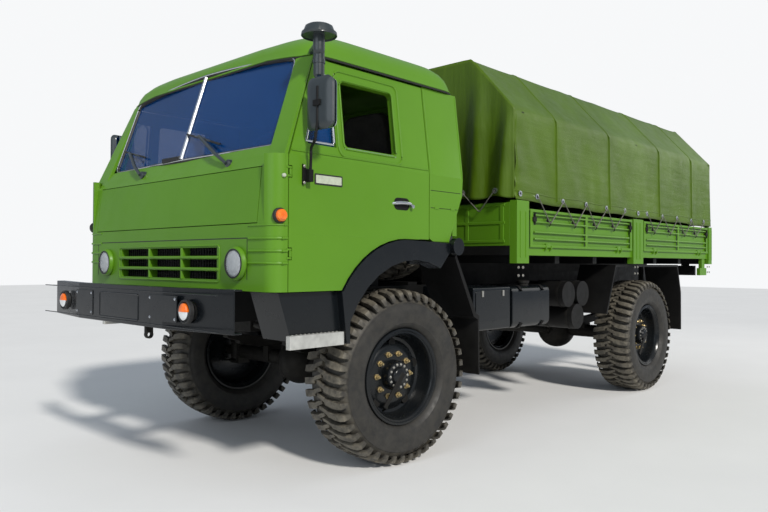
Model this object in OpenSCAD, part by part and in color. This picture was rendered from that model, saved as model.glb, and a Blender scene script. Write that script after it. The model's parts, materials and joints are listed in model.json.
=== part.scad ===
// Four-wheel-drive cargo truck: tilting cab over the engine, drop-side bed under a laced canopy.
// Lengths are in millimetres. The front is -Y and the truck's left side is +X.
// Each module is drawn from the ground point under the front axle; placed() moves it to the row's origin.

/* [Chassis] */
// Front axle to rear axle
wheelbase = 4180; // [3900:10:5200]
// Front axle to the foremost point of the bumper
front_overhang = 1600; // [1560:10:1960]
// Rear axle to the last point of the bed
rear_overhang = 1840; // [1500:10:2300]
// Distance between the centre planes of the two wheels on an axle
track = 2010; // [1960:10:2060]
// Width over the two frame rails
frame_width = 864; // [800:4:900]
// Height of the frame rails' top face
frame_top = 1250; // [1230:5:1265]

/* [Wheels] */
// Outside diameter of a tyre
tyre_diameter = 1260; // [1160:10:1300]
// Width of a tyre across its sidewalls
tyre_width = 425; // [360:5:450]
// Diameter of the wheel rim that the tyre's bead sits on
rim_diameter = 533; // [500:1:560]
// Angle that the front wheels stand at when parked, to the truck's left
parked_steer = -5; // [-8:1:8]

/* [Cab] */
// Width of the cab over its doors
cab_width = 2500; // [2300:10:2560]
// Front axle to the cab's front face
cab_front = 1250; // [1230:5:1300]
// Front axle to the cab's rear face
cab_rear = 570; // [500:5:640]
// Height of the crease under the side windows
belt_height = 2100; // [2060:5:2140]
// Height of the cab's walls under the roof
gutter_height = 2760; // [2700:5:2860]
// Height of the roof's crown over the gutter
roof_rise = 270; // [180:5:300]
// Lean of the side windows towards the middle
tumblehome = 80; // [40:5:100]

/* [Bed] */
// Front axle to the headboard
bed_start = 1300; // [1280:10:1500]
// Width of the bed over its side rails
bed_width = 2500; // [2300:10:2600]
// Height of the load floor
floor_height = 1600; // [1580:5:1700]
// Height of a drop side
board_height = 315; // [250:5:400]
// Thickness of a drop side
board_thickness = 40; // [25:1:60]
// Height of the canopy's flat top
canopy_height = 3283; // [2900:10:3600]
// Height of the canopy's eaves
eave_height = 2765; // [2500:5:2900]
// Half the width of the canopy's flat top
ridge_half = 790; // [500:10:1000]
// Height of the canopy's hem
hem_height = 1990; // [1980:5:2100]

/* [Side equipment] */
// Length of a fuel tank along the truck
fuel_tank_length = 620; // [400:10:700]
// Length of the battery box and the tool box
side_box_length = 540; // [300:10:560]
// Diameter of an air tank
air_tank_diameter = 250; // [180:5:260]

/* [Hidden] */
$fn = 48;

fit = 0.3;            // gap between two pieces that sit on each other
run = 6;              // gap around a piece that moves
body_green = [0.36, 0.55, 0.14];
canvas_green = [0.33, 0.42, 0.12];
black = [0.06, 0.06, 0.07];
iron = [0.16, 0.16, 0.17];

// Places along the truck, from the front axle
bed_end = wheelbase + rear_overhang;
origin_y = (bed_end - front_overhang) / 2;
axle_height = tyre_diameter / 2;

// Frame
rail_out = frame_width / 2;
rail_height = 220;
rail_flange = 80;
rail_wall = 10;
rail_bottom = frame_top - rail_height;
rail_front = -1430;
rail_rear = bed_end - 90;

// Steering
kingpin_x = track / 2 - 85;
pin_radius = 24;
spindle_radius = 45;
spindle_end = track / 2 + 60;
rear_guard_front = 1110;   // front of the rear wheel's guard, ahead of the rear axle
front_guard_rear = 830;    // rear of the front wheel's flap, behind the front axle

// Cab
cab_half = cab_width / 2;
door_wall = 55;
sill_height = 1270;
door_front = -1140;
door_rear = 165;
arch_y = -75;
arch_z = axle_height + 250;
arch_radius = 732;
wheelhouse_radius = 705;
wheelhouse_z = axle_height + 135;
lean = atan(tumblehome / (gutter_height - belt_height));
cab_hinge_y = 30 - cab_front;
horn_top = rail_bottom + 120;   // the rails are cut down under the cab's front
horn_rear = -1080;
cab_hinge_z = horn_top + 45;
cab_pin = 16;
screen_rake = 17.9;
screen_fold = 1.9;         // each pane's turn away from the middle
screen_bottom_y = 132 - cab_front;
screen_bottom_z = belt_height + 77;
pillar_bottom = cab_half - 165;   // inner edge of a windscreen pillar at the belt
pillar_top = cab_half - 215;      // inner edge of a windscreen pillar at the roof
screen_arch = 66;          // rise of the windscreen's top edge at the middle
hatch_half = 1080;
hatch_bottom = 1690;
hatch_top = 2030;
hatch_lean = 35;           // how far the hatch's top edge lies behind its bottom edge

// Bed
bed_half = bed_width / 2;
sill_half = bed_half - 50;
board_bottom = floor_height + 12;
board_top = board_bottom + board_height;
board_out = bed_half - 5;
hinge_x = bed_half + 12;
hinge_z = floor_height;
hinge_radius = 9;
hinge_pin = 6;
post_out = bed_half + 22;
mid_post = (bed_start + bed_end) / 2 + 55;
posts = [[bed_start, bed_start + 190, hem_height], [mid_post - 125, mid_post + 125, board_top + 10],
         [bed_end - 140, bed_end - 20, board_top + 10]];   // [front, rear, top]
canopy_half = bed_half + 18;
canopy_wall = 18;
chamfer_angle = atan2(canopy_height - eave_height, canopy_half - ridge_half);
bow_size = 40;
beam_top = floor_height - 80;
beam_bottom = floor_height - 150;
guard_top = beam_bottom - 10;

// Side equipment
side_box_start = front_guard_rear + 30;
fuel_tank_start = side_box_start + side_box_length + 25;
tank_out = 1150;
tank_in = 600;
tank_top = 1250;
tank_bottom = 880;
air_tank_y = wheelbase - rear_guard_front - 490;

// Points of an arc, from angle a0 to a1
function arc(cx, cy, r, a0, a1, n = 8) =
  [for (i = [0:n]) [cx + r * cos(a0 + (a1 - a0) * i / n), cy + r * sin(a0 + (a1 - a0) * i / n)]];
// A rectangle with round corners
function rounded(x0, x1, y0, y1, r, n = 5) = concat(
  arc(x1 - r, y1 - r, r, 0, 90, n), arc(x0 + r, y1 - r, r, 90, 180, n),
  arc(x0 + r, y0 + r, r, 180, 270, n), arc(x1 - r, y0 + r, r, 270, 360, n));
// The canopy's cross-section, drawn in by d, standing on height z0
function canopy_outline(d, z0) =
  let (eave = eave_height - d * tan((90 - chamfer_angle) / 2),
       ridge = ridge_half - d * tan(chamfer_angle / 2))
  [[canopy_half - d, z0], [canopy_half - d, eave], [ridge, canopy_height - d],
   [-ridge, canopy_height - d], [d - canopy_half, eave], [d - canopy_half, z0]];

module placed() translate([0, -origin_y, 0]) children();
module block(x, y, z) translate([x[0], y[0], z[0]]) cube([x[1] - x[0], y[1] - y[0], z[1] - z[0]]);
module along_x(x0, x1) translate([x0, 0, 0]) rotate([90, 0, 90]) linear_extrude(x1 - x0) children();
module along_y(y0, y1) translate([0, y1, 0]) rotate([90, 0, 0]) linear_extrude(y1 - y0) children();
module along_z(z0, z1) translate([0, 0, z0]) linear_extrude(z1 - z0) children();
module both_sides() { children(); mirror([1, 0, 0]) children(); }
module on_side(side) mirror([side < 0 ? 1 : 0, 0, 0]) children();
module rod_x(r, x0, x1, y, z) translate([x0, y, z]) rotate([0, 90, 0]) cylinder(r = r, h = x1 - x0);
module rod_y(r, y0, y1, x, z) translate([x, y0, z]) rotate([-90, 0, 0]) cylinder(r = r, h = y1 - y0);
module rod(p, q, r) {
  d = q - p;
  translate(p) rotate([0, acos(d[2] / norm(d)), atan2(d[1], d[0])]) cylinder(r = r, h = norm(d));
}
// Leans a side panel's upper half in about the belt line; its outline is drawn in Y and Z
module leaned() translate([cab_half, 0, belt_height]) rotate([0, -lean, 0]) translate([-cab_half, 0, -belt_height]) children();

// ---- Frame and running gear ----

module frame_rails() color(black) both_sides() {
  difference() {
    block([rail_out - rail_flange, rail_out], [rail_front, rail_rear], [rail_bottom, frame_top]);
    block([rail_out - rail_flange - 1, rail_out - rail_wall], [rail_front - 1, rail_rear + 1],
          [rail_bottom + rail_wall, frame_top - rail_wall]);
    block([rail_out - rail_flange - 1, rail_out + 1], [rail_front - 1, horn_rear], [horn_top, frame_top + 1]);
  }
  block([rail_out - rail_flange, rail_out], [rail_front, horn_rear], [horn_top - rail_wall, horn_top]);
  for (axle = [0, wheelbase], end = [-1, 1])
    block([rail_out - rail_flange + 5, rail_out - 5],
          [axle + end * spring_reach - 35, axle + end * spring_reach + 35], [spring_eye_z + 28 + fit, rail_bottom]);
  // Hinge lugs at the cab's front and the posts that its rear rests on
  difference() {
    block([rail_out - 60, rail_out - 36], [cab_hinge_y - 40, cab_hinge_y + 40], [horn_top - 1, cab_hinge_z + 34]);
    rod_x(cab_pin + 0.5, rail_out - 70, rail_out - 30, cab_hinge_y, cab_hinge_z);
  }
  block([rail_out - 60, rail_out - 20], [cab_rear - 150, cab_rear - 70], [frame_top - 1, deck_height - fit]);
}

cross_places = [1270, 1960, wheelbase - 1000, wheelbase + 900, rail_rear - 60];
module crossmembers() color(black) {
  for (y = cross_places) block([fit - rail_out + rail_wall, rail_out - rail_wall - fit], [y - 35, y + 35],
                               [rail_bottom + rail_wall + fit + 40, frame_top - rail_wall - fit]);
  block([fit - rail_out + rail_wall, rail_out - rail_wall - fit], [rail_front + 5, rail_front + 75],
        [rail_bottom + rail_wall + fit, horn_top - rail_wall - fit]);
}

// The bumper is a channel whose two ends sweep back
bumper_top = 1293;
bumper_bottom = 1036;
bumper_half = 1228;
bumper_flat = 600;
bumper_sweep = 90;
bumper_depth = 60;
bumper_wall = 10;
lamp_x = 860;
lamp_z = 1155;
function bumper_plan(d, back) = [
  [-bumper_half, d + bumper_sweep - front_overhang], [-bumper_flat, d - front_overhang],
  [bumper_flat, d - front_overhang], [bumper_half, d + bumper_sweep - front_overhang],
  [bumper_half, back + bumper_sweep - front_overhang], [bumper_flat, back - front_overhang],
  [-bumper_flat, back - front_overhang], [-bumper_half, back + bumper_sweep - front_overhang]];
module front_bumper() color(black) {
  difference() {
    along_z(bumper_bottom, bumper_top) polygon(bumper_plan(0, bumper_depth));
    along_z(bumper_bottom + bumper_wall, bumper_top - bumper_wall)
      polygon(bumper_plan(bumper_wall, bumper_depth + 1));
    both_sides() rod_y(62, -front_overhang - 50, 200 - front_overhang, lamp_x, lamp_z);
  }
  // Brackets back to the rails' front ends
  both_sides() block([rail_out - rail_flange, rail_out], [bumper_wall - front_overhang, rail_front - fit],
                     [bumper_bottom + bumper_wall, horn_top]);
}

lamp_face = 38 - front_overhang;   // a bumper lamp sits in its hole in the swept part of the bumper
tail_lamp_y = bed_end - 60;
module marker_lamps() color("orange") both_sides() {
  rod_y(56, lamp_face, lamp_face + 45, lamp_x, lamp_z);
  block([lamp_x - 25, lamp_x + 25], [lamp_face + 14, lamp_face + 40], [bumper_bottom + bumper_wall + fit, lamp_z]);
  block([820, 1080], [tail_lamp_y - 45, tail_lamp_y], [1300, 1430]);
  block([900, 1000], [tail_lamp_y - 40, tail_lamp_y - 10], [1430, beam_top - fit]);
}

module powertrain() color(iron) {
  block([-330, 330], [-750, 450], [940, deck_height - 60]);
  block([-190, 190], [450, 1120], [860, frame_top - 90]);
  both_sides() for (y = [-560, 260])
    block([329, rail_out - rail_wall - fit], [y, y + 90], [rail_bottom + rail_wall + fit, rail_bottom + 90]);
  // Transfer case on its own mounts
  block([-250, 250], [1420, 1860], [700, rail_bottom + 90]);
  both_sides() block([249, rail_out - rail_wall - fit], [1560, 1720], [rail_bottom + rail_wall + fit, rail_bottom + 80]);
}

module propeller_shafts() color(iron) {
  shaft([0, 1120, 900], [0, 1420, 880], 42);
  shaft([-120, 244, axle_height + 20], [-120, 1420, 800], 38);
  shaft([0, 1860, 830], [0, wheelbase - 262, axle_height + 15], 48);
}
// A shaft between two upright flanges
module shaft(p, q, r) {
  rod_y(r + 14, p[1] + fit, p[1] + 22, p[0], p[2]);
  rod_y(r + 14, q[1] - 22, q[1] - fit, q[0], q[2]);
  rod(p + [0, 12, 0], q - [0, 12, 0], r);
}

// An axle's tube, its round differential housing and the seats under its springs
spring_seat_z = axle_height + 92;
module axle_core(tube, diff_x, diff_radius, half) {
  rod_x(tube, -half, half, 0, axle_height);
  difference() {
    translate([diff_x, 0, axle_height]) sphere(r = diff_radius);
    both_sides() block([diff_x + diff_radius * 0.9, 900], [-400, 400], [0, 1200]);
  }
  both_sides() block([rail_out - rail_flange + 5, rail_out - 5], [-70, 70], [axle_height - 40, spring_seat_z]);
}
module front_axle() color(black) difference() {
  union() {
    axle_core(62, 0, 190, kingpin_x - 90);
    rod_y(60, 100, 244, -120, axle_height + 20);
    both_sides() {
      block([kingpin_x - 110, kingpin_x - 85], [-60, 60], [axle_height - 105, axle_height + 105]);
      for (z = [-105, 80]) translate([0, 0, axle_height + z]) {
        block([kingpin_x - 90, kingpin_x], [-60, 60], [0, 25]);
        translate([kingpin_x, 0, 0]) cylinder(r = 60, h = 25);
      }
    }
  }
  both_sides() translate([kingpin_x, 0, axle_height - 120]) cylinder(r = pin_radius + 0.5, h = 240);
}
module rear_axle() color(black) translate([0, wheelbase, 0]) {
  axle_core(75, 0, 230, 900);
  rod_y(70, -262 + fit, -150, 0, axle_height + 15);
  both_sides() rod_x(spindle_radius, 899, spindle_end, 0, axle_height);
}

// A pack of leaves that curve up to the eyes under the rail
spring_reach = 720;
spring_eye_z = rail_bottom - 35;
leaf_thickness = 22;
leaf_ends = [12, 10, 8, 6];   // where each leaf ends, in twelfths of the spring's reach
spring_top = spring_seat_z + leaf_thickness * len(leaf_ends) + fit;
function leaf_z(y) = spring_top + (spring_eye_z - spring_top) * pow(y / spring_reach, 2);
function leaf_point(i, k) = [spring_reach * i / 12, leaf_z(spring_reach * i / 12) - leaf_thickness * k];
module leaf_pack() along_x(rail_out - rail_flange + 5, rail_out - 5) polygon(concat(
  [for (i = [-12:12]) leaf_point(i, 0)],
  [for (k = [0:2], i = [leaf_ends[k]:-1:leaf_ends[k + 1]]) leaf_point(i, k + 1)],
  [for (i = [leaf_ends[3]:-1:-leaf_ends[3]]) leaf_point(i, 4)],
  [for (k = [2:-1:0], i = [leaf_ends[k + 1]:leaf_ends[k]]) leaf_point(-i, k + 1)]));
module leaf_springs() color(black) for (axle = [0, wheelbase]) both_sides() translate([0, axle, 0]) {
  leaf_pack();
  for (end = [-1, 1])
    rod_x(28, rail_out - rail_flange + 5, rail_out - 5, end * spring_reach, spring_eye_z);
}

// The steered knuckle, drawn about the left kingpin
module knuckle() color(iron) {
  cylinder(r = 55, h = 140, center = true);
  cylinder(r = pin_radius, h = 206, center = true);
  rotate([0, 90, 0]) cylinder(r = spindle_radius, h = spindle_end - kingpin_x);
  block([-30, 8], [30, 170], [-60, -30]);
}
module at_kingpin(side) translate([side * kingpin_x, 0, axle_height]) rotate([0, 0, parked_steer]) on_side(side) children();

// ---- Wheels: drawn about X, with the outer side at +X ----

module turned() rotate([0, 90, 0]) rotate_extrude() children();
tyre_half = tyre_width / 2;
bead = rim_diameter / 2;
rim_half = 150;
module tyre() color(black) turned() polygon([
  [bead + fit, 19 - rim_half], [bead + 44, 9 - rim_half], [bead + 62, -rim_half - 16], [bead + 120, 10 - tyre_half],
  [bead + 190, -tyre_half],
  [axle_height - 70, 8 - tyre_half], [axle_height - 18, 38 - tyre_half], [axle_height, 85 - tyre_half],
  [axle_height, tyre_half - 85], [axle_height - 18, tyre_half - 38], [axle_height - 70, tyre_half - 8],
  [bead + 190, tyre_half], [bead + 120, tyre_half - 10], [bead + 62, rim_half + 16], [bead + 44, rim_half - 9],
  [bead + fit, rim_half - 19]]);
// Rim, dished disc, hub and brake drum, as half an outline of radius and width
drum_in = -5;
module wheel() color(black) difference() {
  turned() polygon([
    [0, 150], [62, 150], [72, 138], [100, 132], [100, 74], [185, 72], [215, 50], [bead - 24, 28],
    [bead - 24, 118], [bead - 12, rim_half - 15], [bead + 36, rim_half + 2], [bead + 40, rim_half - 8],
    [bead, rim_half - 18], [bead, 18 - rim_half], [bead + 40, 8 - rim_half], [bead + 36, -rim_half],
    [bead - 14, 8 - rim_half], [bead - 14, 14], [205, 14], [205, drum_in], [0, drum_in]]);
  translate([drum_in - 1, 0, 0]) rotate([0, 90, 0]) cylinder(r = spindle_radius + 0.5, h = spindle_end - track / 2 - drum_in + 2);
}
module at_wheel(side, rear) if (rear) translate([side * track / 2, wheelbase, axle_height]) on_side(side) children();
  else at_kingpin(side) translate([track / 2 - kingpin_x, 0, 0]) children();

// ---- Side equipment ----

module hanger(y0, y1) for (y = [y0 + 60, y1 - 120])
  block([rail_out + fit, tank_in + 1], [y, y + 60], [rail_bottom + 20, rail_bottom + 140]);
module fuel_tanks() color(black) both_sides() {
  along_y(fuel_tank_start, fuel_tank_start + fuel_tank_length)
    polygon(rounded(tank_in, tank_out, tank_bottom, tank_top, 60));
  hanger(fuel_tank_start, fuel_tank_start + fuel_tank_length);
}
module side_boxes() color(black) both_sides() {
  along_y(side_box_start, side_box_start + side_box_length)
    polygon(rounded(tank_in, tank_out - 8, tank_bottom + 10, tank_top, 18));
  hanger(side_box_start, side_box_start + side_box_length);
}
// [place along the truck, height] of each air tank
air_tanks_at = [[-140, 1150], [145, 1150], [40, 1150 - air_tank_diameter * 0.9]];
module air_tanks() color(black) {
  for (t = air_tanks_at)
    rod_x(air_tank_diameter / 2, 640, 1130, air_tank_y + t[0], t[1]);
  block([rail_out + fit, 800], [air_tank_y - 60, air_tank_y + 70], [rail_bottom + 10, rail_bottom + 130]);
}

// The fixed half of the front wheel arch, behind the wheel, with its flap
module arch_guards() color(black) both_sides() {
  along_x(850, 1238) polygon([[cab_rear - 80, 1496], [cab_rear - 62, 1520], [front_guard_rear - 62, 1052],
                               [front_guard_rear - 20, 1030], [front_guard_rear - 12, 560], [front_guard_rear - 24, 560],
                               [front_guard_rear - 38, 1000], [front_guard_rear - 92, 1025]]);
  block([rail_out + fit, 851], [front_guard_rear - 86, front_guard_rear - 52], [rail_bottom + 12, rail_bottom + 52]);
}

module rear_mudguards() color(black) translate([0, wheelbase, 0]) both_sides() {
  along_x(800, 1215) polygon([
    [-rear_guard_front, 930], [-rear_guard_front + 25, 930], [-880, guard_top - 24], [780, guard_top - 24],
    [880, 1090], [892, 640], [912, 640], [906, 1095], [800, guard_top], [-895, guard_top]]);
  for (y = [-820, 700]) block([rail_out + fit, 800], [y, y + 60], [frame_top - 120, frame_top - 60]);
  for (y = [-820, 700]) block([760, 801], [y, y + 60], [frame_top - 120, guard_top]);
}

// ---- Bed ----

deck_top = floor_height + 8;   // the planked load deck stands a little above the floor's rim
module bed_floor() color(body_green) {
  block([-sill_half, sill_half], [bed_start, bed_end - 30], [beam_top, floor_height]);
  block([50 - sill_half, sill_half - 50], [bed_start + 60, bed_end - 130], [floor_height - 1, deck_top]);
  for (i = [0:6]) let (y = bed_start + 40 + (bed_end - bed_start - 230) * i / 6)
    block([-sill_half + 20, sill_half - 20], [y, y + 80], [beam_bottom, beam_top]);
  both_sides() block([rail_out - rail_flange, rail_out], [bed_start, bed_end - 110], [frame_top + fit, beam_top]);
}

// Where a board's two hinges lie, from its ends
hinge_inset = 330;
hinge_half = 35;
module hinge_ears() for (side = [-1, 1]) along_y(side * (hinge_half + 9) - 7, side * (hinge_half + 9) + 7)
  difference() {
    polygon([[0, -45], [hinge_radius + 16, -24], [hinge_radius + 16, 12], [0, 12]]);
    translate([12, 0]) circle(r = hinge_pin + 0.5);
  }
module hinge_barrel(depth) {
  rod_y(hinge_radius, -hinge_half, hinge_half, 0, 0);
  rod_y(hinge_pin, -hinge_half - 14, hinge_half + 14, 0, 0);
  block([-depth, 0], [-hinge_half, hinge_half], [3, 28]);
}
boards = [[posts[0][1] + run, posts[1][0] - run], [posts[1][1] + run, posts[2][0] - run]];  // [front, rear]
function hinge_places(board) = [board[0] + hinge_inset, board[1] - hinge_inset];
module bed_side_frames() color(body_green) both_sides() {
  block([sill_half + fit, bed_half], [bed_start, bed_end - 30], [beam_top, floor_height]);
  for (p = posts) difference() {
    block([sill_half + fit, post_out], [p[0], p[1]], [beam_top - 70, p[2]]);
    block([sill_half + fit - 1, sill_half + 30], [p[0] + 14, p[1] - 14], [floor_height + 1, p[2] - 14]);
  }
  for (b = boards, y = hinge_places(b)) translate([bed_half, y, hinge_z]) hinge_ears();
  block([sill_half + fit, bed_half - 8], [bed_end - 364, bed_end - 133], [1305, 1400]);
  block([sill_half + fit, bed_half - 8], [bed_end - 300, bed_end - 200], [1399, beam_top + 1]);
}
module board(b) color(body_green) {
  block([board_out - board_thickness, board_out], [b[0], b[1]], [board_bottom, board_top]);
  for (y = hinge_places(b)) translate([hinge_x, y, hinge_z]) hinge_barrel(hinge_x - board_out);
}
module headboard() color(body_green)
  block([fit - sill_half, sill_half - fit], [bed_start, bed_start + 40], [floor_height + fit, hem_height - 15]);

gate_half = sill_half - run;
gate_out = bed_end - 37;
gate_hinge_y = bed_end - 20;
gate_hinges = [-700, 700];
module tailgate() color(body_green) {
  block([-gate_half, gate_half], [gate_out - board_thickness, gate_out], [board_bottom, board_top]);
  for (x = gate_hinges) translate([x, gate_hinge_y, hinge_z]) rotate([0, 0, 90]) hinge_barrel(gate_hinge_y - gate_out);
}
module gate_ears() color(body_green) for (x = gate_hinges) translate([x, bed_end - 32, hinge_z]) rotate([0, 0, 90]) mirror([0, 1, 0]) hinge_ears();

// Hoops that stand on the posts, tied by four long rails
bow_places = [bed_start + 110, mid_post - 20, bed_end - 110];
module bow_ring(z0) difference() {
  polygon(canopy_outline(canopy_wall + 4, z0));
  polygon(canopy_outline(canopy_wall + 4 + bow_size, z0 - 1));
}
module canopy_bows() color(iron) {
  for (i = [0:2]) along_y(bow_places[i], bow_places[i] + bow_size) bow_ring(posts[i][2] + fit);
  both_sides() block([ridge_half - 90, ridge_half - 50], [bow_places[0], bow_places[2]],
                     [canopy_height - canopy_wall - 4 - bow_size, canopy_height - canopy_wall - 4]);
  both_sides() block([canopy_half - canopy_wall - 44, canopy_half - canopy_wall - 4], [bow_places[0], bow_places[2]],
                     [eave_height - 120, eave_height - 80]);
}
canopy_rear = bed_end - 52;
module canopy() color(canvas_green) difference() {
  along_y(bed_start - 12, canopy_rear) polygon(canopy_outline(0, hem_height + fit));
  along_y(bed_start - 12 + canopy_wall, canopy_rear + 1) polygon(canopy_outline(canopy_wall, hem_height - 1));
}
module rear_curtain() color(canvas_green)
  along_y(canopy_rear + fit, canopy_rear + 18) polygon(canopy_outline(2, board_top + 20));

spare_y = (cab_rear + bed_start) / 2 - 15;
spare_z = frame_top + 30 + axle_height;
module spare_wheel() color(black) translate([0, spare_y, spare_z]) rotate([0, 0, 90]) {
  tyre();
  turned() polygon([[90, 20], [90, 36], [bead - 30, 36], [bead - 12, rim_half - 6], [bead, rim_half - 6],
                    [bead, 6 - rim_half], [bead - 12, 6 - rim_half], [bead - 12, 20]]);
}
module spare_carrier() color(black) {
  carrier_y = spare_y + tyre_half + 8;
  both_sides() block([rail_out - rail_flange, rail_out], [carrier_y, carrier_y + 60], [frame_top + fit, spare_z + 150]);
  block([-rail_out, rail_out], [carrier_y, carrier_y + 60], [spare_z - 60, spare_z + 60]);
  rod_y(80, spare_y + 36 + fit, carrier_y + 1, 0, spare_z);
  rod_y(30, spare_y - 40, carrier_y + 1, 0, spare_z);
  rod_y(120, spare_y - 20, spare_y + 20 - fit, 0, spare_z);
  block([-rail_out, rail_out], [spare_y - 60, spare_y + 60], [frame_top + fit, frame_top + 30 - fit]);
}

// A towing eye under the left of the bumper and a rear towing jaw with an upright pin hole
jaw_radius = 26;
eye_radius = 14;
eye_y = 33 - front_overhang;
eye_z = bumper_bottom - 52;
jaw_y = bed_end - 60;
jaw_back = rail_rear - 25 + fit;
jaw_bottom = rail_bottom + 20;
module tow_fittings() color(iron) {
  difference() {
    union() {
      block([rail_out - 75, rail_out - 45], [eye_y - 24, eye_y + 24], [eye_z, bumper_bottom - fit]);
      rod_x(26, rail_out - 75, rail_out - 45, eye_y, eye_z);
    }
    rod_x(eye_radius, rail_out - 80, rail_out - 40, eye_y, eye_z);
  }
  difference() {
    for (z = [0, 110]) block([-50, 50], [jaw_back, jaw_y + 45], [jaw_bottom + z, jaw_bottom + z + 40]);
    translate([0, jaw_y, jaw_bottom - 1]) cylinder(r = jaw_radius, h = 152);
  }
  block([-70, 70], [jaw_back, rail_rear - 1], [jaw_bottom, jaw_bottom + 150]);
  block([fit - rail_out + rail_wall, rail_out - rail_wall - fit], [jaw_back, rail_rear - 1], [jaw_bottom + 40, jaw_bottom + 120]);
}

// ---- Cab ----

cab_in = cab_half - door_wall;
wall = 62;
deck_height = frame_top + 366;
well_rear = -cab_front + 545;
module cab_floor() color(black) {
  block([-cab_in + fit, cab_in - fit], [well_rear, cab_rear - door_wall - fit], [deck_height, deck_height + 40]);
  block([-360, 360], [wall - cab_front, well_rear], [deck_height, deck_height + 40]);
  both_sides() {
    block([360, cab_half - corner_radius - 5], [wall - cab_front, well_rear], [sill_height + 10, sill_height + 45]);
    block([360, cab_in - 8], [corner_radius + 5 - cab_front, well_rear], [sill_height + 10, sill_height + 45]);
    block([360, cab_in - fit], [well_rear - 30, well_rear], [sill_height + 10, deck_height + 40]);
    block([360, 390], [wall - cab_front, well_rear], [sill_height + 10, deck_height + 40]);
    // Arms with the pins that turn in the rails' lugs
    block([rail_out - 34, rail_out - 6], [wall - cab_front, cab_hinge_y + 60], [cab_hinge_z - 28, sill_height + 11]);
    block([rail_out - 34, rail_out - 6], [cab_hinge_y - 24, cab_hinge_y + 60], [cab_hinge_z - 28, sill_height - 6]);
    rod_x(cab_pin, rail_out - 66, rail_out - 20, cab_hinge_y, cab_hinge_z);
  }
}

// Side view of the front wall: outer face up to the cowl, then back down the inner face
front_side = [[-cab_front, sill_height], [-cab_front, hatch_bottom], [hatch_lean - cab_front, hatch_top],
              [screen_bottom_y - 10, screen_bottom_z - 4], [screen_bottom_y + 40, screen_bottom_z - 4],
              [hatch_lean - cab_front + wall, hatch_top], [wall - cab_front, hatch_bottom], [wall - cab_front, sill_height]];
grille_half = 670;
grille_rows = [1335, 1412, 1489];
grille_slot = 54;
corner_radius = cab_front + door_front - run - 4;
module grille_slots() for (z = grille_rows, x = [-1, 0, 1])
  block([x * 447 - 210, x * 447 + 210], [-cab_front - 5, wall + 5 - cab_front], [z, z + grille_slot]);
module hatch_block(gap, depth) along_x(-hatch_half - gap, hatch_half + gap) polygon([
  [-cab_front - 10, hatch_bottom - gap], [-cab_front + depth, hatch_bottom - gap],
  [hatch_lean - cab_front + depth, hatch_top + gap], [hatch_lean - cab_front - 10, hatch_top + gap]]);
module corner_plan() polygon(concat(
  arc(cab_half - corner_radius, corner_radius - cab_front, corner_radius, -90, 0, 6),
  [[cab_half, door_front - run], [cab_half - 45, door_front - run]],
  arc(cab_half - corner_radius, corner_radius - cab_front, corner_radius - 45, 0, -90, 6)));
module cab_front_panel() color(body_green) {
  difference() {
    along_x(corner_radius - cab_half, cab_half - corner_radius) polygon(front_side);
    grille_slots();
    hatch_block(run, 36);
    rod_x(hatch_pin + 0.5, -hatch_half - run - 14, hatch_half + run + 14, hatch_pin_y, hatch_pin_z);
    both_sides() rod_y(100, -cab_front - 5, 30 - cab_front, 885, 1440);
  }
  both_sides() {
    along_z(sill_height, belt_height) corner_plan();
    door_ears();
    hull() {
      block([pillar_bottom, cab_half - 2], [door_front - 32, door_front - run - 6], [belt_height - 15, belt_height]);
      translate([0, 0, gutter_height - 8]) linear_extrude(8 - fit) polygon([
        [pillar_top, roof_front + 2], [roof_half - 90, roof_front + 2], [cab_half - tumblehome, front_edge_top - 12],
        [cab_half - tumblehome, front_edge_top - run], [pillar_top, front_edge_top - run]]);
    }
  }
}

// Outline of a door below the belt, cut round the wheel arch
door_arch = arch_radius + 8;
arch_start = 180 - asin((sill_height - arch_z) / door_arch);
module door_low() polygon(concat(
  [[door_front, belt_height], [door_front, sill_height]],
  arc(arch_y, arch_z, door_arch, arch_start, 90, 8),
  [[door_rear, arch_z + door_arch], [door_rear, belt_height]]));
window_bottom = belt_height + 100;
window_top = gutter_height - 120;
main_window = [-670, -175];
vent_rear = -745;
door_top = gutter_height - 8;
front_edge_top = -882;
module vent_outline(d) polygon([[-985 + d, window_bottom - 15 + d], [vent_rear - d, window_bottom - 15 + d],
                                [vent_rear - d, window_top - d], [-885 + d, window_top - d]]);
module main_outline(d) polygon(rounded(main_window[0] + d, main_window[1] - d, window_bottom + d, window_top - d, 30));
module door_high() difference() {
  polygon([[door_front, belt_height - 8], [door_front + 10, belt_height + 12], [front_edge_top, door_top],
           [door_rear - 8, door_top], [door_rear, belt_height - 8]]);
  main_outline(0);
  vent_outline(0);
}
door_hinge = [cab_half - 4, door_front + 12];
door_hinge_places = [1500, 1995];
module door() color(body_green) {
  difference() {
    union() {
      along_x(cab_in, cab_half) door_low();
      leaned() along_x(cab_in + 10, cab_half - 1) door_high();
    }
    for (z = door_hinge_places)
      block([door_hinge[0] - 16, cab_half + 1], [door_front - 1, door_hinge[1] + 14], [z - 38, z + 38]);
  }
  for (z = door_hinge_places) translate([door_hinge[0], door_hinge[1], z]) {
    cylinder(r = 7, h = 36, center = true);
    cylinder(r = 4, h = 62, center = true);
    block([-6, 2], [0, 20], [-18, 18]);
  }
}
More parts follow.
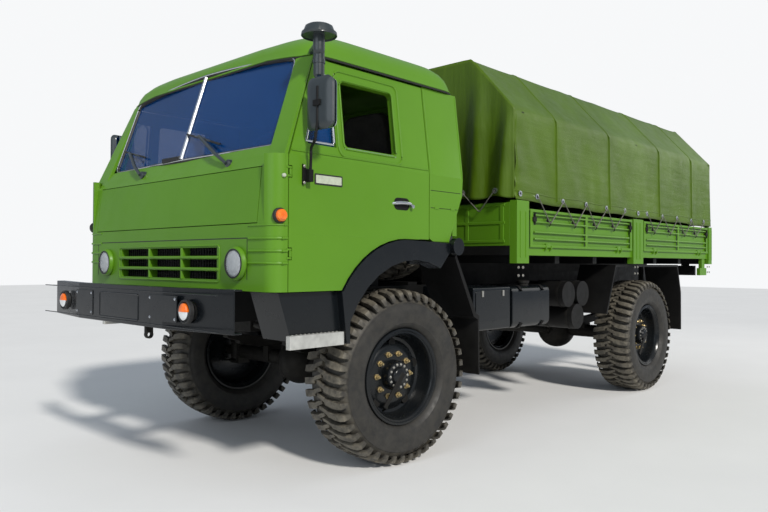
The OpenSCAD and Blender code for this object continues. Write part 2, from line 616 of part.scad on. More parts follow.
// The two ears of a door's hinge, on the corner post
module door_ears() difference() {
  for (z = door_hinge_places, end = [-32, 20])
    block([door_hinge[0] - 8, door_hinge[0] + 7], [door_front - run - 10, door_hinge[1] + 7], [z + end, z + end + 12]);
  for (z = door_hinge_places) translate([door_hinge[0], door_hinge[1], z]) cylinder(r = 5, h = 80, center = true);
}
module door_glass(open) color([0.1, 0.2, 0.35, 0.4]) leaned() along_x(cab_half - 32, cab_half - 26) {
  vent_outline(fit);
  if (!open) main_outline(fit);
}
quarter_front = door_rear + run;
module cab_sides() color(body_green) both_sides() {
  along_x(cab_in, cab_half) polygon([
    [quarter_front, belt_height], [quarter_front, arch_z + door_arch + 10], [quarter_front + 40, arch_z + door_arch - 12],
    [cab_rear - 168, arch_z + door_arch - 12], [cab_rear - 8, belt_height - 135], [cab_rear, belt_height]]);
  leaned() along_x(cab_in + 10, cab_half - 1)
    polygon([[quarter_front, belt_height - 8], [quarter_front - 6, gutter_height - fit], [cab_rear, gutter_height - fit],
             [cab_rear, belt_height - 8]]);
}
rear_window = [[250, 720], [2220, 2560]];
lean_in = (cab_in - 10) - 62;
module cab_rear_wall() color(body_green) along_y(cab_rear - door_wall, cab_rear) difference() {
  polygon([[fit - cab_in, deck_height + 40 + fit], [cab_in - fit, deck_height + 40 + fit], [cab_in - fit, belt_height - 20],
           [cab_in - fit - tumblehome - 4, gutter_height - fit], [fit + tumblehome + 4 - cab_in, gutter_height - fit],
           [fit - cab_in, belt_height - 20]]);
  for (side = [-1, 1]) polygon([for (p = rounded(rear_window[0][0], rear_window[0][1], rear_window[1][0], rear_window[1][1], 40)) [side * p[0], p[1]]]);
}

// The roof's shell: [half width, front, rear, height over the gutter] of each level
roof_half = cab_half - tumblehome + 12;
roof_front = 330 - cab_front;
roof_levels = [[0, 0, 12, 0.03], [4, -4, 12, 0.2], [70, 90, 4, 0.6], [150, 190, -8, 0.8], [420, 380, -60, 0.95], [700, 580, -140, 1]];
// One level of the roof: [inset from the gutter, front, rear, rise], its front corners cut back further the higher it is
module roof_level(level, inset) {
  w = roof_half - level[0] - inset;
  cut = 78 + level[0] * 0.35;
  y0 = roof_front + level[1] + inset;
  translate([0, 0, gutter_height]) linear_extrude(max(1, roof_rise * level[3] - inset))
    polygon([[cut - w, y0], [w - cut, y0], [w, y0 + cut - 6], [w, cab_rear + level[2] - inset], [-w, cab_rear + level[2] - inset],
             [-w, y0 + cut - 6]]);
}
module roof_dome(inset) hull() for (level = roof_levels) roof_level(level, inset);
module cab_roof() color(body_green) difference() {
  roof_dome(0);
  translate([0, 0, -2]) roof_dome(45);
  // The windscreen's arched top edge
  along_y(roof_front - 60, roof_front + 90) polygon([
    [-pillar_top - 6, gutter_height - 1], [-pillar_top - 2, gutter_height + 12], [-pillar_top / 2, gutter_height + 22 + screen_arch * 0.6],
    [0, gutter_height + 18 + screen_arch], [pillar_top / 2, gutter_height + 22 + screen_arch * 0.6], [pillar_top + 2, gutter_height + 12],
    [pillar_top + 6, gutter_height - 1]]);
}

screen_length = (gutter_height + 6 - screen_bottom_z) / cos(screen_rake);
module cab_glass() color([0.1, 0.25, 0.5, 0.4]) {
  both_sides() translate([0, screen_bottom_y, screen_bottom_z - 4 + fit]) rotate([0, 0, screen_fold]) rotate([90 - screen_rake, 0, 0])
    linear_extrude(7) polygon(concat([[4, 0]], arc(pillar_bottom - 62, 52, 52, -90, -8, 4),
      arc(pillar_top - 44, screen_length - 40, 40, 8, 82, 4), [[4, screen_length + screen_arch]]));
  both_sides() along_y(cab_rear - 32, cab_rear - 26)
    polygon(rounded(rear_window[0][0] + fit, rear_window[0][1] - fit, rear_window[1][0] + fit, rear_window[1][1] - fit, 40));
}
module headlamps() color("white") both_sides() {
  rod_y(95, -cab_front - 14, 30 - fit - cab_front, 885, 1440);
}

// Black arch flares with the step housings under the doors
flare_out = cab_half + 14;
flare_in = cab_half - 110;
flare_start = 180 - asin((sill_height - run - arch_z) / arch_radius);
module cab_wings() color(black) both_sides() {
  along_x(flare_in, flare_out) polygon(concat(
    [[-712, sill_height - run], [-668, 925], [-640, 925]],
    arc(0, wheelhouse_z, wheelhouse_radius, 155, 66, 8),
    [[cab_rear - 168, arch_z + arch_radius - 80], [cab_rear - 175, arch_z + arch_radius - 12]],
    arc(arch_y, arch_z, arch_radius, 84, flare_start, 8)));
  along_x(930, cab_half - 40) polygon([[-1185, sill_height - run], [-712, sill_height - run], [-672, 965], [-1085, 965]]);
  // The rubber-faced pod at the tail of the flare
  rod_x(66, flare_out - 12, cab_half + 50, cab_rear - 108, 1574);
  // Brackets up to the cab's floor
  block([930, flare_in + 10], [-1180, -1130], [sill_height - run, sill_height + 10 - fit]);
  block([flare_in, cab_in - 20], [40, 160], [wheelhouse_z + wheelhouse_radius - 30, deck_height - fit]);
}
step_top = 1005;
module cab_steps() color("silver") both_sides()
  block([cab_half - 40 + fit, cab_half + 2], [-1125, -680], [step_top - 85, step_top]);

// A mushroom-capped intake pipe beside the left windscreen pillar
pipe_x = cab_half + 87;
pipe_y = -985;
pipe_z = gutter_height - 20;
module snorkel() color(iron) {
  translate([pipe_x, pipe_y, pipe_z]) cylinder(r = 36, h = 90);
  translate([pipe_x, pipe_y, pipe_z]) sphere(r = 36);
  difference() {
    rod([pipe_x, pipe_y, gutter_height + 31], [cab_half - tumblehome - 60, -860, gutter_height + 31], 20);
    roof_dome(-fit);
  }
  translate([pipe_x, pipe_y, pipe_z + 89]) rotate_extrude()
    polygon([[0, 0], [98, 0], [102, 6], [84, 52], [70, 60], [0, 62]]);
}

seat_half = 250;
// [middle of the seat, half width]
seat_places = [[620, 250], [-480, 430]];
module seats() color(black) for (s = seat_places) translate([s[0], 0, 0]) {
  along_x(-s[1], s[1]) polygon([[-420, 2010], [-400, 2045], [60, 2030], [120, 2420], [190, 2640], [270, 2630],
                                [215, 2380], [175, 1990], [150, 1900], [-400, 1900]]);
  block([60 - s[1], s[1] - 60], [-300, 130], [deck_height + 40 + fit, 1905]);
}
module dashboard() color(black) {
  along_x(-cab_in + 40, cab_in - 40) polygon([
    [hatch_lean - cab_front + wall + 2, hatch_top], [screen_bottom_y + 20, belt_height + 25], [screen_bottom_y + 220, belt_height - 20],
    [screen_bottom_y + 240, belt_height - 110], [screen_bottom_y + 160, belt_height - 220], [wall - cab_front + 19, belt_height - 240]]);
  both_sides() block([cab_in - 120, cab_in - 80], [-1165, -1120], [sill_height + 45 + fit, 1900]);
}
wheel_centre = [620, -640, 2200];
wheel_tilt = -28;
column_radius = 24;
column_length = (wheel_centre[2] - sill_height - 45 - fit + column_radius * sin(wheel_tilt)) / cos(wheel_tilt);
module steering_wheel() color(black) translate(wheel_centre) rotate([wheel_tilt, 0, 0]) {
  rotate_extrude() translate([235, 0]) circle(r = 15);
  for (a = [90, 210, 330]) rotate([0, 0, a]) block([0, 232], [-14, 14], [-6, 6]);
  cylinder(r = 45, h = 40, center = true);
  translate([0, 0, -column_length]) cylinder(r = column_radius, h = column_length);
}

hatch_pin = 4.5;
hatch_pin_y = hatch_lean - cab_front + 6;
hatch_pin_z = hatch_top - 6;
module front_hatch() color(body_green) {
  both_sides() rod_x(hatch_pin, hatch_half - 10, hatch_half + run + 12, hatch_pin_y, hatch_pin_z);
  hatch_panel();
}
module hatch_panel() difference() {
  hatch_block(0, 29);
  along_x(-hatch_half - 1, hatch_half + 1) polygon([
    [-cab_front - 20, hatch_bottom - 1], [-cab_front, hatch_bottom - 1], [-cab_front, hatch_bottom],
    [hatch_lean - cab_front, hatch_top], [hatch_lean - cab_front, hatch_top + 1], [hatch_lean - cab_front - 20, hatch_top + 1]]);
}

// A mirror on its arm; the right one is folded back along its door
mirror_foot = [cab_half, -985, 1965];
module mirror_arm(y) {
  block([0, 22], [-45, 45], [-45, 45]);
  rod([18, 0, 0], [70, y, 90], 10);
  rod([70, y, 85], [110, y, 300], 10);
}
module mirror_head() hull() for (z = [10, 305]) translate([0, 0, z]) {
  block([10, 220], [-30, 15], [0, 10]);
  block([0, 230], [15, 28], [-8, 18]);
}
module left_mirror() color(black) translate(mirror_foot) {
  mirror_arm(-20);
  translate([30, -20, 282]) mirror_head();
}
module right_mirror() color(black) mirror([1, 0, 0]) translate(mirror_foot) {
  mirror_arm(120);
  translate([102, 110, 282]) rotate([0, 0, 78]) mirror_head();
}

placed() frame_rails();
placed() crossmembers();
placed() front_bumper();
placed() marker_lamps();
placed() powertrain();
placed() propeller_shafts();
placed() front_axle();
placed() rear_axle();
placed() leaf_springs();
placed() fuel_tanks();
placed() side_boxes();
placed() air_tanks();
placed() arch_guards();
placed() rear_mudguards();
placed() { bed_floor(); gate_ears(); }
placed() bed_side_frames();
placed() headboard();
placed() canopy_bows();
placed() canopy();
placed() rear_curtain();
placed() spare_wheel();
placed() spare_carrier();
placed() tow_fittings();
placed() cab_floor();
placed() cab_front_panel();  // cab_front
placed() cab_sides();
placed() cab_rear_wall();
placed() cab_roof();
placed() cab_glass();
placed() headlamps();
placed() cab_wings();
placed() cab_steps();
placed() snorkel();
placed() seats();
placed() dashboard();
placed() steering_wheel();
placed() front_hatch();
placed() on_side(1) door();  // left_door
placed() on_side(-1) door();  // right_door
placed() on_side(1) door_glass(true);  // left_door_glass
placed() on_side(-1) door_glass(false);  // right_door_glass
placed() left_mirror();
placed() right_mirror();
placed() at_kingpin(1) knuckle();  // left_knuckle
placed() at_kingpin(-1) knuckle();  // right_knuckle
placed() at_wheel(1, false) tyre();  // front_left_tyre
placed() at_wheel(-1, false) tyre();  // front_right_tyre
placed() at_wheel(1, true) tyre();  // rear_left_tyre
placed() at_wheel(-1, true) tyre();  // rear_right_tyre
placed() at_wheel(1, false) wheel();  // front_left_wheel
placed() at_wheel(-1, false) wheel();  // front_right_wheel
placed() at_wheel(1, true) wheel();  // rear_left_wheel
placed() at_wheel(-1, true) wheel();  // rear_right_wheel
placed() on_side(1) board(boards[0]);  // left_front_board
placed() on_side(1) board(boards[1]);  // left_rear_board
placed() on_side(-1) board(boards[0]);  // right_front_board
placed() on_side(-1) board(boards[1]);  // right_rear_board
placed() tailgate();
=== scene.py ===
"""The looks of a military cargo truck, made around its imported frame.

Lengths are metres. The truck's front is -Y, its left is +X and the ground is z = 0.
"""

import json
import math

import bmesh
import bpy
import numpy as np
from mathutils import Matrix, Vector
from bpy.props import FloatProperty, FloatVectorProperty, IntProperty, PointerProperty

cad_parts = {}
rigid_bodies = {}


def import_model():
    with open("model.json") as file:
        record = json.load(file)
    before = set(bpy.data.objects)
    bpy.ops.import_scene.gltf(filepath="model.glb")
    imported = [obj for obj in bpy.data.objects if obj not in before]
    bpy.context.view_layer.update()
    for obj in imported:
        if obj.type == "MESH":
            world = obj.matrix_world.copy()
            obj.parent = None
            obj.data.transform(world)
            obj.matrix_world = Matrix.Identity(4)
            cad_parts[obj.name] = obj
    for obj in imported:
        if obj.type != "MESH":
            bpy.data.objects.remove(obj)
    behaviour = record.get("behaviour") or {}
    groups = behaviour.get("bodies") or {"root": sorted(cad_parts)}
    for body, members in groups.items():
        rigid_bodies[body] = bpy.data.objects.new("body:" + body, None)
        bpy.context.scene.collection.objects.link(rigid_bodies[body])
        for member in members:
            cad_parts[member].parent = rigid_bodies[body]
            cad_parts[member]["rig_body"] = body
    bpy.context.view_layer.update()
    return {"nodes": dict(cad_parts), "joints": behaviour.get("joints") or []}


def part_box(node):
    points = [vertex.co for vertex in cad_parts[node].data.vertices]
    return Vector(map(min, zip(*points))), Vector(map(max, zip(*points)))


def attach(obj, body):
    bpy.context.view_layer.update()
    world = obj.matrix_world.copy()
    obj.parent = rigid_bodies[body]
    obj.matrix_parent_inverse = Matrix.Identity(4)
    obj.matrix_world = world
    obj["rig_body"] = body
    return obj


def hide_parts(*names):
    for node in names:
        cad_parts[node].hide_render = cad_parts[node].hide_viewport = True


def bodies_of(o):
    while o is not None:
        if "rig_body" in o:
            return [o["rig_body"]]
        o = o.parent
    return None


bl_info = {
    "name": "Cargo truck",
    "version": (1, 0, 0),
    "blender": (4, 5, 0),
    "location": "View3D > Sidebar > Truck",
    "description": "Paint, rubber, canvas and fittings of a cargo truck",
    "category": "Object",
}

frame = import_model()
BOX = {name: np.array(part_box(name)) for name in frame["nodes"]}
SIDES = ((1, "left"), (-1, "right"))
CAB_FRONT = BOX["cab_front"][0][1]
AXLE_Y = BOX["front_left_wheel"].mean(0)[1]
BED_FRONT = BOX["bed_side_frames"][0][1]
DOOR_FACE = BOX["left_door"][1][0]
FINISH = {}
LOOK = None


def turn(radians, axis=2):
    """The matrix of a turn about one main axis, for points held as rows."""
    c, s = math.cos(radians), math.sin(radians)
    i, j = [(1, 2), (2, 0), (0, 1)][axis]
    matrix = np.eye(3)
    matrix[[i, j], [i, j]] = c
    matrix[i, j] = s
    matrix[j, i] = -s
    return matrix


# Shapes. A shape is a pair: its points, as rows, and its faces, as lists of row numbers.


def grid(points, around=False):
    """Quads over an array of points [u, v], with v closed on itself if it goes around."""
    rows, columns = points.shape[:2]
    index = np.arange(rows * columns).reshape(rows, columns)
    if around:
        index = np.hstack([index, index[:, :1]])
    corners = index[:-1, :-1], index[:-1, 1:], index[1:, 1:], index[1:, :-1]
    return points.reshape(-1, 3), np.stack(corners, -1).reshape(-1, 4).tolist()


def loft(rings):
    """A closed solid through rings of points [ring, point], with a flat face at each end."""
    points, faces = grid(rings, around=True)
    count = rings.shape[1]
    last = len(points) - count
    return points, faces + [list(range(count))[::-1], list(range(last, last + count))]


def join(*shapes):
    """One shape of several."""
    starts = np.cumsum([0] + [len(points) for points, _ in shapes])
    faces = [[k + start for k in face]
             for start, (_, some) in zip(starts.tolist(), shapes) for face in some]
    return np.vstack([points for points, _ in shapes]), faces


def moved(shape, offset=(0, 0, 0), matrix=None):
    """A shape turned by a matrix and then shifted."""
    points = shape[0] if matrix is None else shape[0] @ matrix
    return points + np.array(offset, float), shape[1]


def mirrored(shape):
    """A shape and its mirror image across the truck's middle."""
    flipped = shape[0] * [-1, 1, 1], [face[::-1] for face in shape[1]]
    return join(shape, flipped)


def block(low, high):
    """A box between two corners: the eight signs of its half size about its middle."""
    low, high = np.minimum(low, high), np.maximum(low, high)
    corners = np.array([[x, y, z] for x in (0, 1) for y in (0, 1) for z in (0, 1)], float)
    faces = [[0, 1, 3, 2], [4, 6, 7, 5], [0, 4, 5, 1], [2, 3, 7, 6], [0, 2, 6, 4], [1, 5, 7, 3]]
    return low + corners * (high - low), faces


def lathe(profile, centre, axis=0, sides=32, flip=1, closed=False):
    """A solid of revolution: (along, radius) pairs turned about a line along a main axis."""
    profile = np.array(profile, float)
    if closed:
        profile = np.vstack([profile, profile[:1]])
    angle = np.linspace(0, 2 * math.pi, sides, endpoint=False)
    along = np.repeat(flip * profile[:, :1], sides, 1)
    across = profile[:, 1:] * np.cos(angle)
    upward = profile[:, 1:] * np.sin(angle)
    order = {0: (along, across, upward), 1: (upward, along, across), 2: (across, upward, along)}
    rings = np.stack(order[axis], -1)
    return moved(grid(rings, around=True) if closed else loft(rings), centre)


def tube(path, radius, sides=10, flat=1.0, closed=False):
    """A round rod along a path: a circle about each point, square to the path's direction there."""
    path = np.array(path, float)
    ahead = np.gradient(path, axis=0)
    if closed:
        ahead = np.roll(path, -1, 0) - np.roll(path, 1, 0)
    ahead /= np.linalg.norm(ahead, axis=1, keepdims=True)
    reference = np.where(np.abs(ahead[:, 2:]) > 0.94, [[0.0, 1.0, 0.0]], [[0.0, 0.0, 1.0]])
    side = np.cross(ahead, reference)
    side /= np.linalg.norm(side, axis=1, keepdims=True)
    up = np.cross(side, ahead)
    angle = np.linspace(0, 2 * math.pi, sides, endpoint=False)[:, None]
    ring = np.cos(angle) * side[:, None] * flat + np.sin(angle) * up[:, None]
    rings = path[:, None] + radius * ring
    if closed:
        return grid(np.concatenate([rings, rings[:1]]), around=True)
    return loft(rings)


def plate(outline, thickness, place):
    """A flat plate: an outline (a, b), given its thickness c, put in place by a function of a, b and c."""
    outline = np.array(outline, float)
    rings = [place(outline[:, 0], outline[:, 1], np.full(len(outline), c)) for c in thickness]
    return loft(np.array([np.stack(ring, -1) for ring in rings]))


def rounded(width, height, radius, steps=5):
    """The outline of a rectangle about the origin with round corners: four quarter circles."""
    angle = np.linspace(0, math.pi / 2, steps)
    arcs = []
    for quarter, (x, y) in enumerate([(1, 1), (-1, 1), (-1, -1), (1, -1)]):
        corner = np.array([x * (width / 2 - radius), y * (height / 2 - radius)])
        turned = angle + quarter * math.pi / 2
        arcs.append(corner + radius * np.stack([np.cos(turned), np.sin(turned)], -1))
    return np.vstack(arcs)


def facing_left(x):
    """A plate's place on the truck's left side, its thickness counted outwards from x."""
    return lambda a, b, c: (x + c, a, b)


def facing_front(y):
    """A plate's place on a face square to the truck's length, its thickness counted forwards from y."""
    return lambda a, b, c: (a, y - c, b)


def bolt_heads(places, radius, height, axis, flip=1, sides=6):
    """A low six-sided head with a washer at each place."""
    profile = [(0, 0), (0, radius * 1.5), (height * 0.3, radius * 1.5), (height * 0.35, radius)]
    profile += [(height * 0.9, radius), (height, radius * 0.8), (height, 0)]
    return join(*[lathe(profile, place, axis, sides, flip) for place in places])


def steps_between(start, stop, count):
    """Evenly spaced numbers from start to stop, both counted."""
    return np.linspace(start, stop, count).tolist()


# Materials


def add(tree, kind, inputs=(), **settings):
    """A shader node with its settings and its inputs, each a value or another node's socket."""
    node = tree.nodes.new("ShaderNode" + kind)
    for key, value in settings.items():
        setattr(node, key, value)
    for name, value in dict(inputs).items():
        if isinstance(value, bpy.types.NodeSocket):
            tree.links.new(value, node.inputs[name])
        else:
            node.inputs[name].default_value = value
    return node


def mix(tree, factor, first, second):
    """A colour between two, by a factor."""
    colours = [c if isinstance(c, bpy.types.NodeSocket) else (*c, 1.0)[:4] for c in (first, second)]
    node = add(tree, "Mix", {0: factor, 6: colours[0], 7: colours[1]}, data_type="RGBA")
    return node.outputs[2]


def ranged(tree, value, low, high, to_low=0.0, to_high=1.0):
    """A value stretched from one range to another and held inside it."""
    inputs = {"Value": value, "From Min": low, "From Max": high, "To Min": to_low, "To Max": to_high}
    return add(tree, "MapRange", inputs).outputs[0]


def times(tree, first, second):
    """One value times another."""
    return add(tree, "Math", {0: first, 1: second}, operation="MULTIPLY").outputs[0]


def noise(tree, where, scale, detail=4.0, rough=0.55):
    """A cloudy value from 0 to 1 at a place."""
    return add(tree, "TexNoise", {"Vector": where, "Scale": scale, "Detail": detail,
                                  "Roughness": rough}).outputs["Fac"]


def surface(name, colour, rough, metal=0.0, vary=0.12, scale=3.0, grain=90.0, bump=0.05, coat=0.0,
            dust=0.0, dust_top=1.2, stretch=(1, 1, 1), alpha=1.0, dusted=False, weave=0.0, gloss=0.5):
    """A finish: a colour that drifts, fine grain, and dust that thickens towards the ground."""
    material = bpy.data.materials.new(name)
    material.use_nodes = True
    tree = material.node_tree
    shader = tree.nodes["Principled BSDF"]
    place = add(tree, "TexCoord").outputs["Object"]
    place = add(tree, "Mapping", {"Vector": place, "Scale": stretch}).outputs[0]
    drift = ranged(tree, noise(tree, place, scale), 0.3, 0.7)
    dark = [c * (1 - vary) for c in colour]
    light = [min(1.0, c * (1 + vary)) for c in colour]
    base = mix(tree, drift, dark, light)
    fine = noise(tree, place, grain, 3.0)
    roughness = ranged(tree, noise(tree, place, scale * 5), 0.3, 0.7, rough * 0.85, min(1.0, rough * 1.2))
    if dust:
        height = add(tree, "SeparateXYZ", {0: add(tree, "TexCoord").outputs["Object"]}).outputs[2]
        low = ranged(tree, height, 0.2, dust_top, dust, 0.0)
        veil = times(tree, low, ranged(tree, noise(tree, place, scale * 2.5, 6.0), 0.35, 0.65, 0.3, 1.0))
        base = mix(tree, veil, base, LOOK.dust)
    if dusted:
        share = add(tree, "Attribute", attribute_name="dust").outputs["Fac"]
        veil = times(tree, share, ranged(tree, noise(tree, place, 14.0, 6.0, 0.7), 0.36, 0.6, 0.25, 1.0))
        base = mix(tree, veil, base, LOOK.dust)
    relief = add(tree, "Bump", {"Height": fine, "Strength": bump, "Distance": 0.002}).outputs[0]
    if weave:
        cloth = add(tree, "UVMap").outputs[0]
        threads = [add(tree, "TexWave", {"Vector": cloth, "Scale": weave, "Distortion": 0.4},
                       bands_direction=way)
                   for way in ("X", "Y")]
        crossed = times(tree, threads[0].outputs["Fac"], threads[1].outputs["Fac"])
        relief = add(tree, "Bump", {"Height": crossed, "Strength": 0.25, "Distance": 0.0008,
                                    "Normal": relief}).outputs[0]
        creases = noise(tree, add(tree, "Mapping", {"Vector": cloth,
                                                    "Scale": (1.0, 7.0, 1.0)}).outputs[0], 1.3, 5.0)
        relief = add(tree, "Bump", {"Height": creases, "Strength": 0.5, "Distance": 0.02,
                                    "Normal": relief}).outputs[0]
    tree.links.new(base, shader.inputs["Base Color"])
    tree.links.new(roughness, shader.inputs["Roughness"])
    tree.links.new(relief, shader.inputs["Normal"])
    shader.inputs["Metallic"].default_value = metal
    shader.inputs["Specular IOR Level"].default_value = gloss
    shader.inputs["Coat Weight"].default_value = coat
    shader.inputs["Coat Roughness"].default_value = 0.12
    shader.inputs["Alpha"].default_value = alpha
    return material


def make_materials():
    """Every finish on the truck, by name."""
    green = LOOK.green
    return {
        "green paint": surface("green paint", green, 0.4, vary=0.05, scale=1.1, bump=0.02, coat=0.12,
                               dust=0.08, gloss=0.3),
        "black paint": surface("black paint", (0.004, 0.0055, 0.007), 0.24, scale=2.0, bump=0.02,
                               dust=0.03, gloss=0.35),
        "chassis paint": surface("chassis paint", (0.006, 0.006, 0.006), 0.55, vary=0.3, bump=0.2,
                                 dust=0.05, gloss=0.2),
        "cast iron": surface("cast iron", (0.015, 0.0145, 0.0135), 0.6, 0.4, vary=0.35, scale=8,
                             bump=0.35, dust=0.08, gloss=0.2),
        "rubber": surface("rubber", (0.012, 0.012, 0.012), 0.55, vary=0.2, scale=5, bump=0.12,
                          dusted=True, gloss=0.4),
        "black rubber": surface("black rubber", (0.012, 0.012, 0.012), 0.55, bump=0.08),
        "bright trim": surface("bright trim", (0.55, 0.57, 0.6), 0.22, 0.9, vary=0.08, scale=20),
        "steel": surface("steel", (0.38, 0.37, 0.34), 0.38, 0.8, vary=0.2, scale=20, bump=0.15),
        "brass": surface("brass", (0.42, 0.33, 0.17), 0.42, 0.75, vary=0.25, scale=30, bump=0.2),
        "step plate": surface("step plate", (0.55, 0.55, 0.52), 0.42, 0.6, vary=0.18, scale=14, bump=0.2,
                              dust=0.12),
        # The windows' deep blue is a painted reflection of the sky, laid over the glass's own faint tint.
        "glass": surface("glass", LOOK.glass, 0.03, vary=0.1, scale=1.0, bump=0.0, alpha=0.55),
        "mirror glass": surface("mirror glass", (0.7, 0.75, 0.8), 0.03, 1.0, vary=0.02, bump=0.0),
        "lens glass": surface("lens glass", (0.8, 0.84, 0.86), 0.06, vary=0.1, scale=30, bump=0.0,
                              alpha=0.35),
        "reflector": surface("reflector", (0.85, 0.87, 0.88), 0.12, 0.9, vary=0.1, scale=12, bump=0.0),
        "amber": surface("amber", (0.85, 0.16, 0.01), 0.14, vary=0.2, scale=25, bump=0.1, coat=0.6),
        "red lens": surface("red lens", (0.5, 0.01, 0.01), 0.15, vary=0.2, scale=25, bump=0.1, coat=0.6),
        "pale plate": surface("pale plate", (0.42, 0.46, 0.36), 0.4, vary=0.12, scale=40, grain=300,
                              bump=0.4),
        "canvas": surface("canvas", LOOK.canvas, 0.4, vary=0.16, scale=1.6, bump=0.1, weave=260.0,
                          gloss=0.3),
        "rope": surface("rope", (0.12, 0.115, 0.1), 0.85, vary=0.35, scale=40, grain=220, bump=0.8),
        "seat cloth": surface("seat cloth", (0.05, 0.048, 0.043), 0.85, vary=0.2, scale=9, grain=400,
                              bump=0.5),
        "grey plastic": surface("grey plastic", (0.022, 0.03, 0.033), 0.33, vary=0.12, scale=5,
                                grain=260, bump=0.12, coat=0.2),
        "cab lining": surface("cab lining", (0.03, 0.03, 0.032), 0.8, vary=0.2, grain=260, bump=0.3),
    }


# Pieces


def piece(name, body, finish, *shapes, slot="green_paint", stands_for=(), bevel=0.0, sharp=32,
          shell=0.0, smooth=0, uv=None, share=None):
    """A new object of joined shapes, finished, softened at its edges and riding on a body."""
    points, faces = join(*shapes)
    mesh = bpy.data.meshes.new(name)
    mesh.from_pydata(points.tolist(), [], faces)
    if uv is not None:
        layer = mesh.uv_layers.new(name="UVMap")
        corners = np.zeros(len(mesh.loops), np.int32)
        mesh.loops.foreach_get("vertex_index", corners)
        layer.data.foreach_set("uv", np.array(uv, float).reshape(-1, 2)[corners].ravel())
    if share is not None:
        mesh.attributes.new("dust", "FLOAT", "POINT").data.foreach_set("value",
                                                                       np.array(share, np.float32).ravel())
    return settle(mesh, name, body, finish, stands_for, bevel, sharp, shell, smooth)


def settle(mesh, name, body, finish, stands_for, bevel, sharp, shell=0.0, smooth=0):
    """Merges a mesh's doubles, turns its faces outwards, shades it and puts it on its body."""
    work = bmesh.new()
    work.from_mesh(mesh)
    bmesh.ops.remove_doubles(work, verts=work.verts, dist=2e-5)
    bmesh.ops.dissolve_degenerate(work, edges=work.edges, dist=1e-5)
    if not shell:
        bmesh.ops.recalc_face_normals(work, faces=work.faces)
    work.to_mesh(mesh)
    work.free()
    mesh.materials.append(FINISH[finish])
    mesh.shade_smooth()
    mesh.set_sharp_from_angle(angle=math.radians(sharp))
    made = bpy.data.objects.new(name, mesh)
    bpy.context.scene.collection.objects.link(made)
    if smooth:
        rounder = made.modifiers.new("smooth", "SUBSURF")
        rounder.levels = rounder.render_levels = smooth
    if shell:
        wall = made.modifiers.new("wall", "SOLIDIFY")
        wall.thickness, wall.offset = shell, -1
    if bevel:
        soft = made.modifiers.new("edges", "BEVEL")
        soft.width, soft.segments, soft.limit_method = bevel, 2, "ANGLE"
        soft.angle_limit = math.radians(sharp)
        soft.harden_normals = True
    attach(made, body)
    if stands_for:
        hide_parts(*stands_for)
    return made


def dress(node, finish, bevel=0.004):
    """A copy of a CAD node with its doubles merged, its flat faces joined and its edges softened."""
    mesh = frame["nodes"][node].data.copy()
    mesh.materials.clear()
    work = bmesh.new()
    work.from_mesh(mesh)
    bmesh.ops.remove_doubles(work, verts=work.verts, dist=2e-5)
    bmesh.ops.dissolve_limit(work, angle_limit=math.radians(0.6), verts=work.verts, edges=work.edges)
    work.to_mesh(mesh)
    work.free()
    return settle(mesh, node + "_shape", body_of(node), finish, (node,), bevel, 30)


def body_of(node):
    """The name of the body that a CAD node rides on."""
    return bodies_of(frame["nodes"][node])[0]


# Wheels, drawn about X with the outer side at +X

TYRE_RADIUS = 0.63


def tyre_body(turns=72):
    """The carcass: a squared-off circle in section, with raised rings on each sidewall."""
    t = np.linspace(math.radians(-62), math.radians(242), 61)
    across = 0.208 * np.sign(np.cos(t)) * np.abs(np.cos(t)) ** 0.7
    radius = 0.462 + 0.138 * np.sign(np.sin(t)) * np.abs(np.sin(t)) ** 0.8
    rings = sum(np.exp(-((radius - r) / 0.005) ** 2) * rise for r,
                rise in ((0.375, 0.004), (0.392, 0.004), (0.528, 0.005)))
    across = across + np.sign(across) * rings
    share = 0.1 + 0.25 * (radius > 0.53)
    return lathe(np.stack([across, radius], -1), (0, 0, 0), sides=turns, closed=True), np.append(share,
                                                                                                 share[0])


def lug_side():
    """One side's tread blocks: a bar swept from the middle over the shoulder, turned round by the pitch."""
    # Across, outer radius, turn round the wheel, half width along the tread
    stations = np.array([
        [-0.02, 0.630, -0.010, 0.014], [0.05, 0.6295, 0.030, 0.017], [0.055, 0.629, 0.050, 0.023],
        [0.115, 0.627, 0.068, 0.026],
        [0.165, 0.620, 0.080, 0.0255], [0.194, 0.605, 0.085, 0.024], [0.206, 0.582, 0.087, 0.021],
        [0.2115, 0.556, 0.088, 0.016],
    ])
    across, radius, lead, half = stations.T
    outward = np.stack([across, radius], -1)
    slope = np.gradient(outward, axis=0)
    normal = np.stack([-slope[:, 1], slope[:, 0]], -1)
    normal /= np.linalg.norm(normal, axis=1, keepdims=True)
    depth = np.array([0.030, 0.030, 0.030, 0.030, 0.028, 0.022, 0.014, 0.008])[:, None]
    inner = outward - normal * depth
    corners = [(inner, -1.12), (outward, -0.92), (outward, 0.92), (inner, 1.12)]
    turns = np.arange(LOOK.lugs)[:, None, None] * 2 * math.pi / LOOK.lugs
    rings = []
    for line, side in corners:
        angle = turns + (lead + side * half / TYRE_RADIUS)[None, :, None]
        rings.append(np.concatenate([np.broadcast_to(line[None, :, :1], angle.shape),
                                     line[None, :, 1:] * np.cos(angle),
                                     line[None, :, 1:] * np.sin(angle)], -1))
    rings = np.stack(rings, 2)
    return [loft(ring) for ring in rings]


def tread():
    """Both sides' blocks, the second side half a pitch behind the first, so that they point one way."""
    side = join(*lug_side())
    other = side[0] * [-1, 1, 1] @ turn(math.pi / LOOK.lugs, 0), [face[::-1] for face in side[1]]
    return join(side, other)


